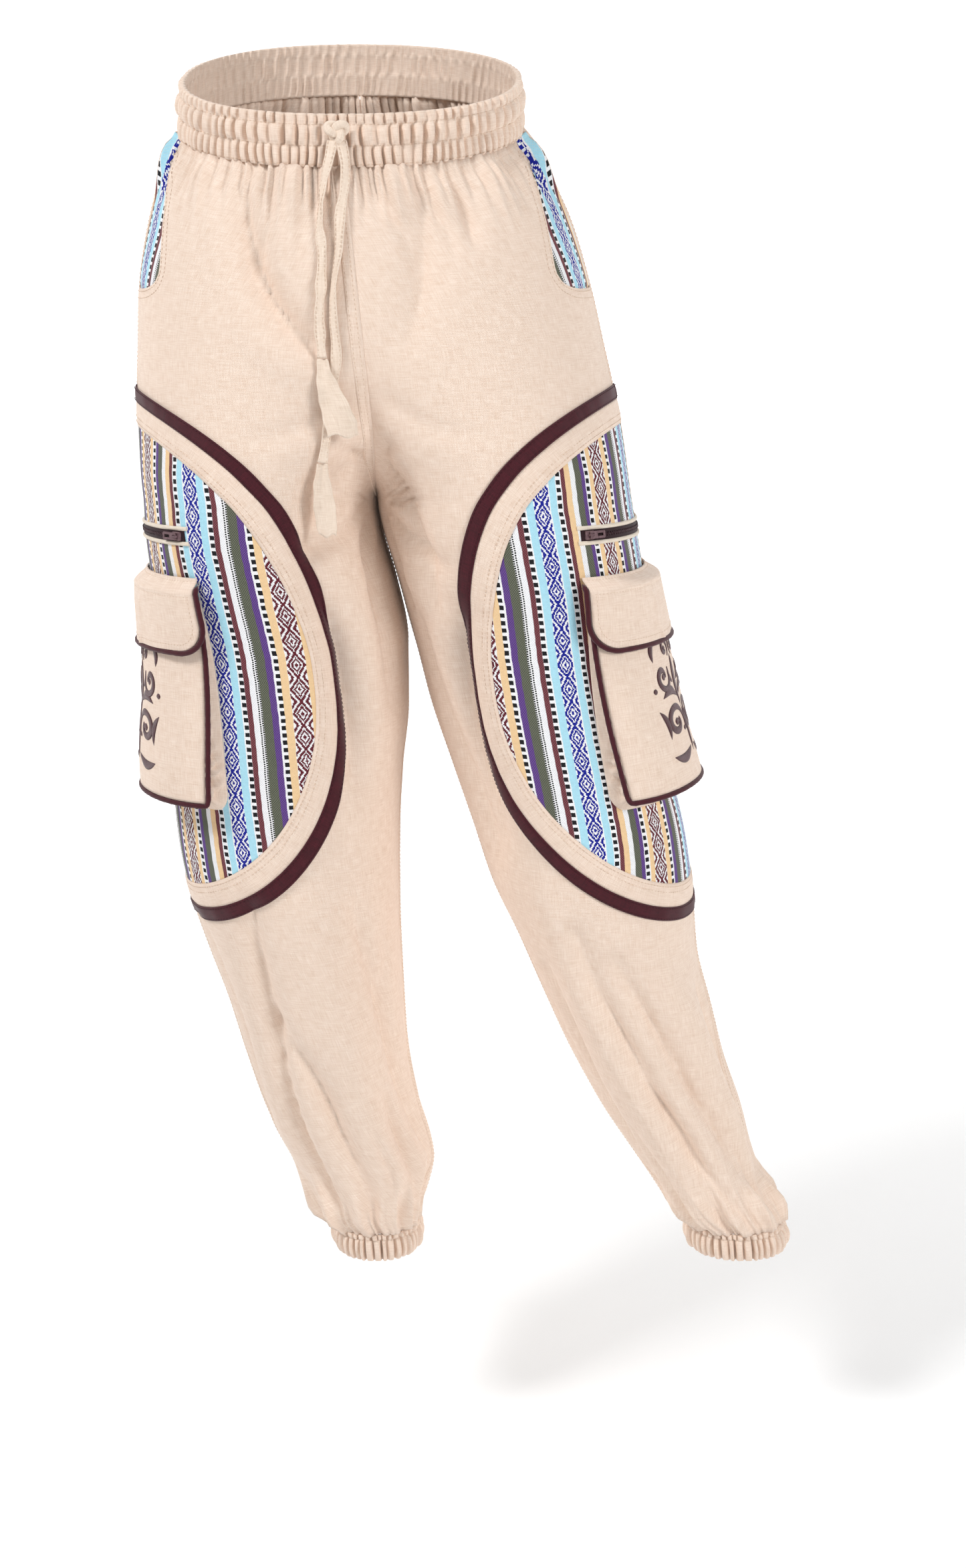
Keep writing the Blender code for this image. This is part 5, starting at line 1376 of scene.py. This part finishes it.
def flap(side):
    turn = np.linspace(0, math.pi / 2, 15)
    rounded = FLAP_HEIGHTS[1] + FLAP_CORNER * (1 - np.cos(turn))
    straight = np.linspace(FLAP_HEIGHTS[1] + FLAP_CORNER, FLAP_HEIGHTS[0], 34)[1:]
    height = np.concatenate([rounded, straight])[::-1]
    across, height = np.meshgrid(np.linspace(-1, 1, 89), height)
    along = POCKET_MIDDLE + across * flap_outline(height)
    surface = flap_surface(along, height)
    made = LEGS[side].piece(side + "_pocket_flap", along, height, surface - FLAP_WALL, surface, COTTON)
    placed(made, "beige_cotton", side + "_flap")


def flap_edge(reach, top):
    """The flap's outline at a distance outside its edge, as places off its middle, and heights."""
    radius = FLAP_CORNER + reach
    straight = np.arange(top, FLAP_HEIGHTS[1] + FLAP_CORNER, -0.0025)
    half = [(-FLAP_HALF - reach, h) for h in straight]
    half += [(-(FLAP_HALF - FLAP_CORNER) - radius * math.cos(t),
              FLAP_HEIGHTS[1] + FLAP_CORNER - radius * math.sin(t)) for t in np.linspace(0, math.pi / 2, 14)]
    middle = np.linspace(-1, 1, 56)[1:-1] * (FLAP_HALF - FLAP_CORNER)
    return np.array(half + [(x, FLAP_HEIGHTS[1] - reach) for x in middle] + [(-x, h) for x, h in half[::-1]])


def flap_piping(side):
    edge = flap_edge(PIPING + SEAM, FLAP_PIPED)
    lift = flap_lift(edge[:, 0] / POCKET_HALF, edge[:, 1])
    path = LEGS[side].at(POCKET_MIDDLE + edge[:, 0], edge[:, 1], lift)[0]
    placed(piping(side + "_flap_cord_edge", path, PIPING, MAROON), "maroon_cotton", side + "_flap_piping")


def flap_rows(side):
    """Two rows along the flap's top, and one inside its piping."""
    rows = []
    for down in FLAP_SEWING:
        along = POCKET_MIDDLE + np.linspace(-1, 1, 120) * (FLAP_HALF - 0.003)
        rows.append((along, FLAP_HEIGHTS[0] - down + 0 * along))
    edge = flap_edge(-FLAP_INSET, FLAP_HEIGHTS[0] - FLAP_SEWING[1])
    rows.append((POCKET_MIDDLE + edge[:, 0], edge[:, 1]))
    return [LEGS[side].at(along, height, flap_surface(along, height) + SUNK_LIFT) for along, height in rows]


for side in SIDES:
    pocket_front(side)
    pocket_bellows(side)
    pocket_piping(side)
    flap(side)
    flap_piping(side)
stitches("flap_sewing", [row for side in SIDES for row in flap_rows(side)], BEIGE_THREAD, "beige_cotton")

# ---------------------------------------------------------------- embroidery
# A mirrored design of scrolls and leaves in maroon satin stitch on each cargo pocket, below its flap.
# The threads lie across each ribbon and stand up in a low dome. Places are millimetres off the middle.
MOTIF_MIDDLE = (-0.012, 0.665)
MOTIF_THREAD = 0.00045
MOTIF_DOME = 0.0008  # how high a wide ribbon stands
# A ribbon's section, as places across it and their heights: a dome over a flat underside.
MOTIF_ACROSS = np.array([-1, -0.55, 0, 0.55, 1, 0.6, 0, -0.6])
MOTIF_RISE = np.array([0.2, 0.75, 1, 0.75, 0.2, -0.4, -0.4, -0.4])
MOTIF_RING = len(MOTIF_ACROSS)
MOTIF_START = np.array([(3, 2, 1, 0), (7, 4, 3, 0), (7, 6, 5, 4)])  # the faces that close its start
# Centre, radius, the angles where it starts and that it turns through, how far it closes, and width.
SCROLLS = (
    (18, -22, 16.0, 215, -430, 0.74, 6.4),
    (24, 15, 13.0, 150, 400, 0.72, 5.6),
    (10, 36, 8.5, 235, -380, 0.66, 4.4),
)
# From, to, how far it bows sideways, and width.
LEAVES = (
    (0, -50, 0, -12, 0, 5.4), (0, -12, 0, 30, 0, 8.4), (3, -4, 31, -1, 6, 7.6), (4, -45, 34, -48, -5, 7.4),
    (32, -34, 39, -10, 4, 6.2), (35, 28, 28, 46, -4, 6.4), (2, 44, 15, 50, 2, 4.6), (6, 8, 13, 20, -2, 4.6),
)
BERRIES = ((18, -22, 3.0), (24, 15, 2.6), (10, 36, 2.0), (39, 6, 2.2), (7, -30, 2.0))

SATIN, tree, shader = material("maroon_satin_thread", {"Roughness": 0.42, "Sheen Weight": 0.2})
down, across = place_on_cloth(tree)
strands = cloud(tree, down * 2600.0, across * 130.0, 1.0)
satin = mixed(tree, ((strands - 0.5) * 1.8 + 0.45).clamped(), paint(52, 10, 20), paint(96, 26, 40))
dress(tree, shader, satin, down.wave(MOTIF_THREAD) + strands, 0.7, 0.00015)


def motif_strokes():
    """Every ribbon of one design, as its line and its half width along it."""
    u = np.linspace(0, 1, 61)
    strokes = []
    for x, y, radius, start, sweep, closing, width in SCROLLS:
        angle = np.radians(start + sweep * u)
        size = radius * (1 - closing * u**0.8)
        line = np.stack([x + size * np.cos(angle), y + size * np.sin(angle)], axis=-1)
        strokes.append((line, width / 2 * np.sin(math.pi * np.clip(0.06 + 0.86 * u, 0, 1)) ** 0.6))
    for x, y, to_x, to_y, bow, width in LEAVES:
        run = np.array([to_x - x, to_y - y], float)
        square = np.array([-run[1], run[0]]) / np.linalg.norm(run)
        v = u[::3]
        line = np.array([x, y]) + run * v[:, None] + square * (bow * np.sin(math.pi * v))[:, None]
        strokes.append((line, width / 2 * np.clip(np.sin(math.pi * v), 0.04, 1) ** 0.8))
    for x, y, radius in BERRIES:
        v = np.linspace(-1, 1, 11)
        strokes.append((paired(x + radius * v, y), radius * np.sqrt(np.maximum(1 - v**2, 0.02))))
    mirrored = [(line * [-1, 1], half) for line, half in strokes if np.abs(line[:, 0]).max() > 0.1]
    return strokes + mirrored


def embroidery(side):
    points, quads, maps, count = [], [], [], 0
    for line, half in motif_strokes():
        ahead = unit(np.gradient(line, axis=0))
        square = np.stack([-ahead[:, 1], ahead[:, 0]], axis=-1)
        half = half[:, None]
        across = half * MOTIF_ACROSS
        place = line[:, None] + square[:, None] * across[..., None]
        along, height = MOTIF_MIDDLE[0] + place[..., 0] / 1000, MOTIF_MIDDLE[1] + place[..., 1] / 1000
        lift = pocket_surface(along, height) + MOTIF_DOME * MOTIF_RISE * np.clip(half / 1.6, 0.2, 1)
        points.append(LEGS[side].at(along, height, lift)[0].reshape(-1, 3))
        flat = paired(travelled(line)[:, None] / 1000, across / 1000).reshape(-1, 2)
        last = MOTIF_RING * (len(line) - 1)
        k, c = (grid.ravel() for grid in np.meshgrid(
            np.arange(0, last, MOTIF_RING), np.arange(MOTIF_RING), indexing="ij"))
        turned = (c + 1) % MOTIF_RING
        body = np.stack([k + c, k + turned, k + MOTIF_RING + turned, k + MOTIF_RING + c], axis=-1)
        faces = np.concatenate([body, MOTIF_START, MOTIF_START[:, ::-1] + last])
        quads.append(faces + count)
        maps.append(flat[faces])
        count += MOTIF_RING * len(line)
    points, quads, maps = (np.concatenate(part) for part in (points, quads, maps))
    placed(closed_mesh(side + "_embroidery", points, quads, SATIN, maps), "maroon_cotton")


for side in SIDES:
    embroidery(side)

# ---------------------------------------------------------------- cuffs
# The same beige cotton, doubled over elastic, which gathers it to a puffed ring at each leg's end. A row of
# stitching near its top edge closes the elastic's channel.
CUFF_BOTTOM = 0.179
CUFF_CHANNELS = ((0.0, 0.80, 41, 3.8, 1.8, 0.37), (0.80, 1.0, 47, 2.4, 0.3, 0.91))
CUFF_GRIDS = {}
for side in SIDES:
    cuff, CUFF_GRIDS[side] = gathered_band(
        side + "_cuff_cloth", ((side, False),), (CUFF_BOTTOM, LOWEST - SEAM), CUFF_CHANNELS,
        samples=400, wall=0.0022, fullness=1.8)
    placed(cuff, "beige_cotton", side + "_cuff")
stitches("cuff_sewing", [round_the_band(grid, CUFF_CHANNELS[0][1]) for grid in CUFF_GRIDS.values()],
         BEIGE_THREAD, "beige_cotton")
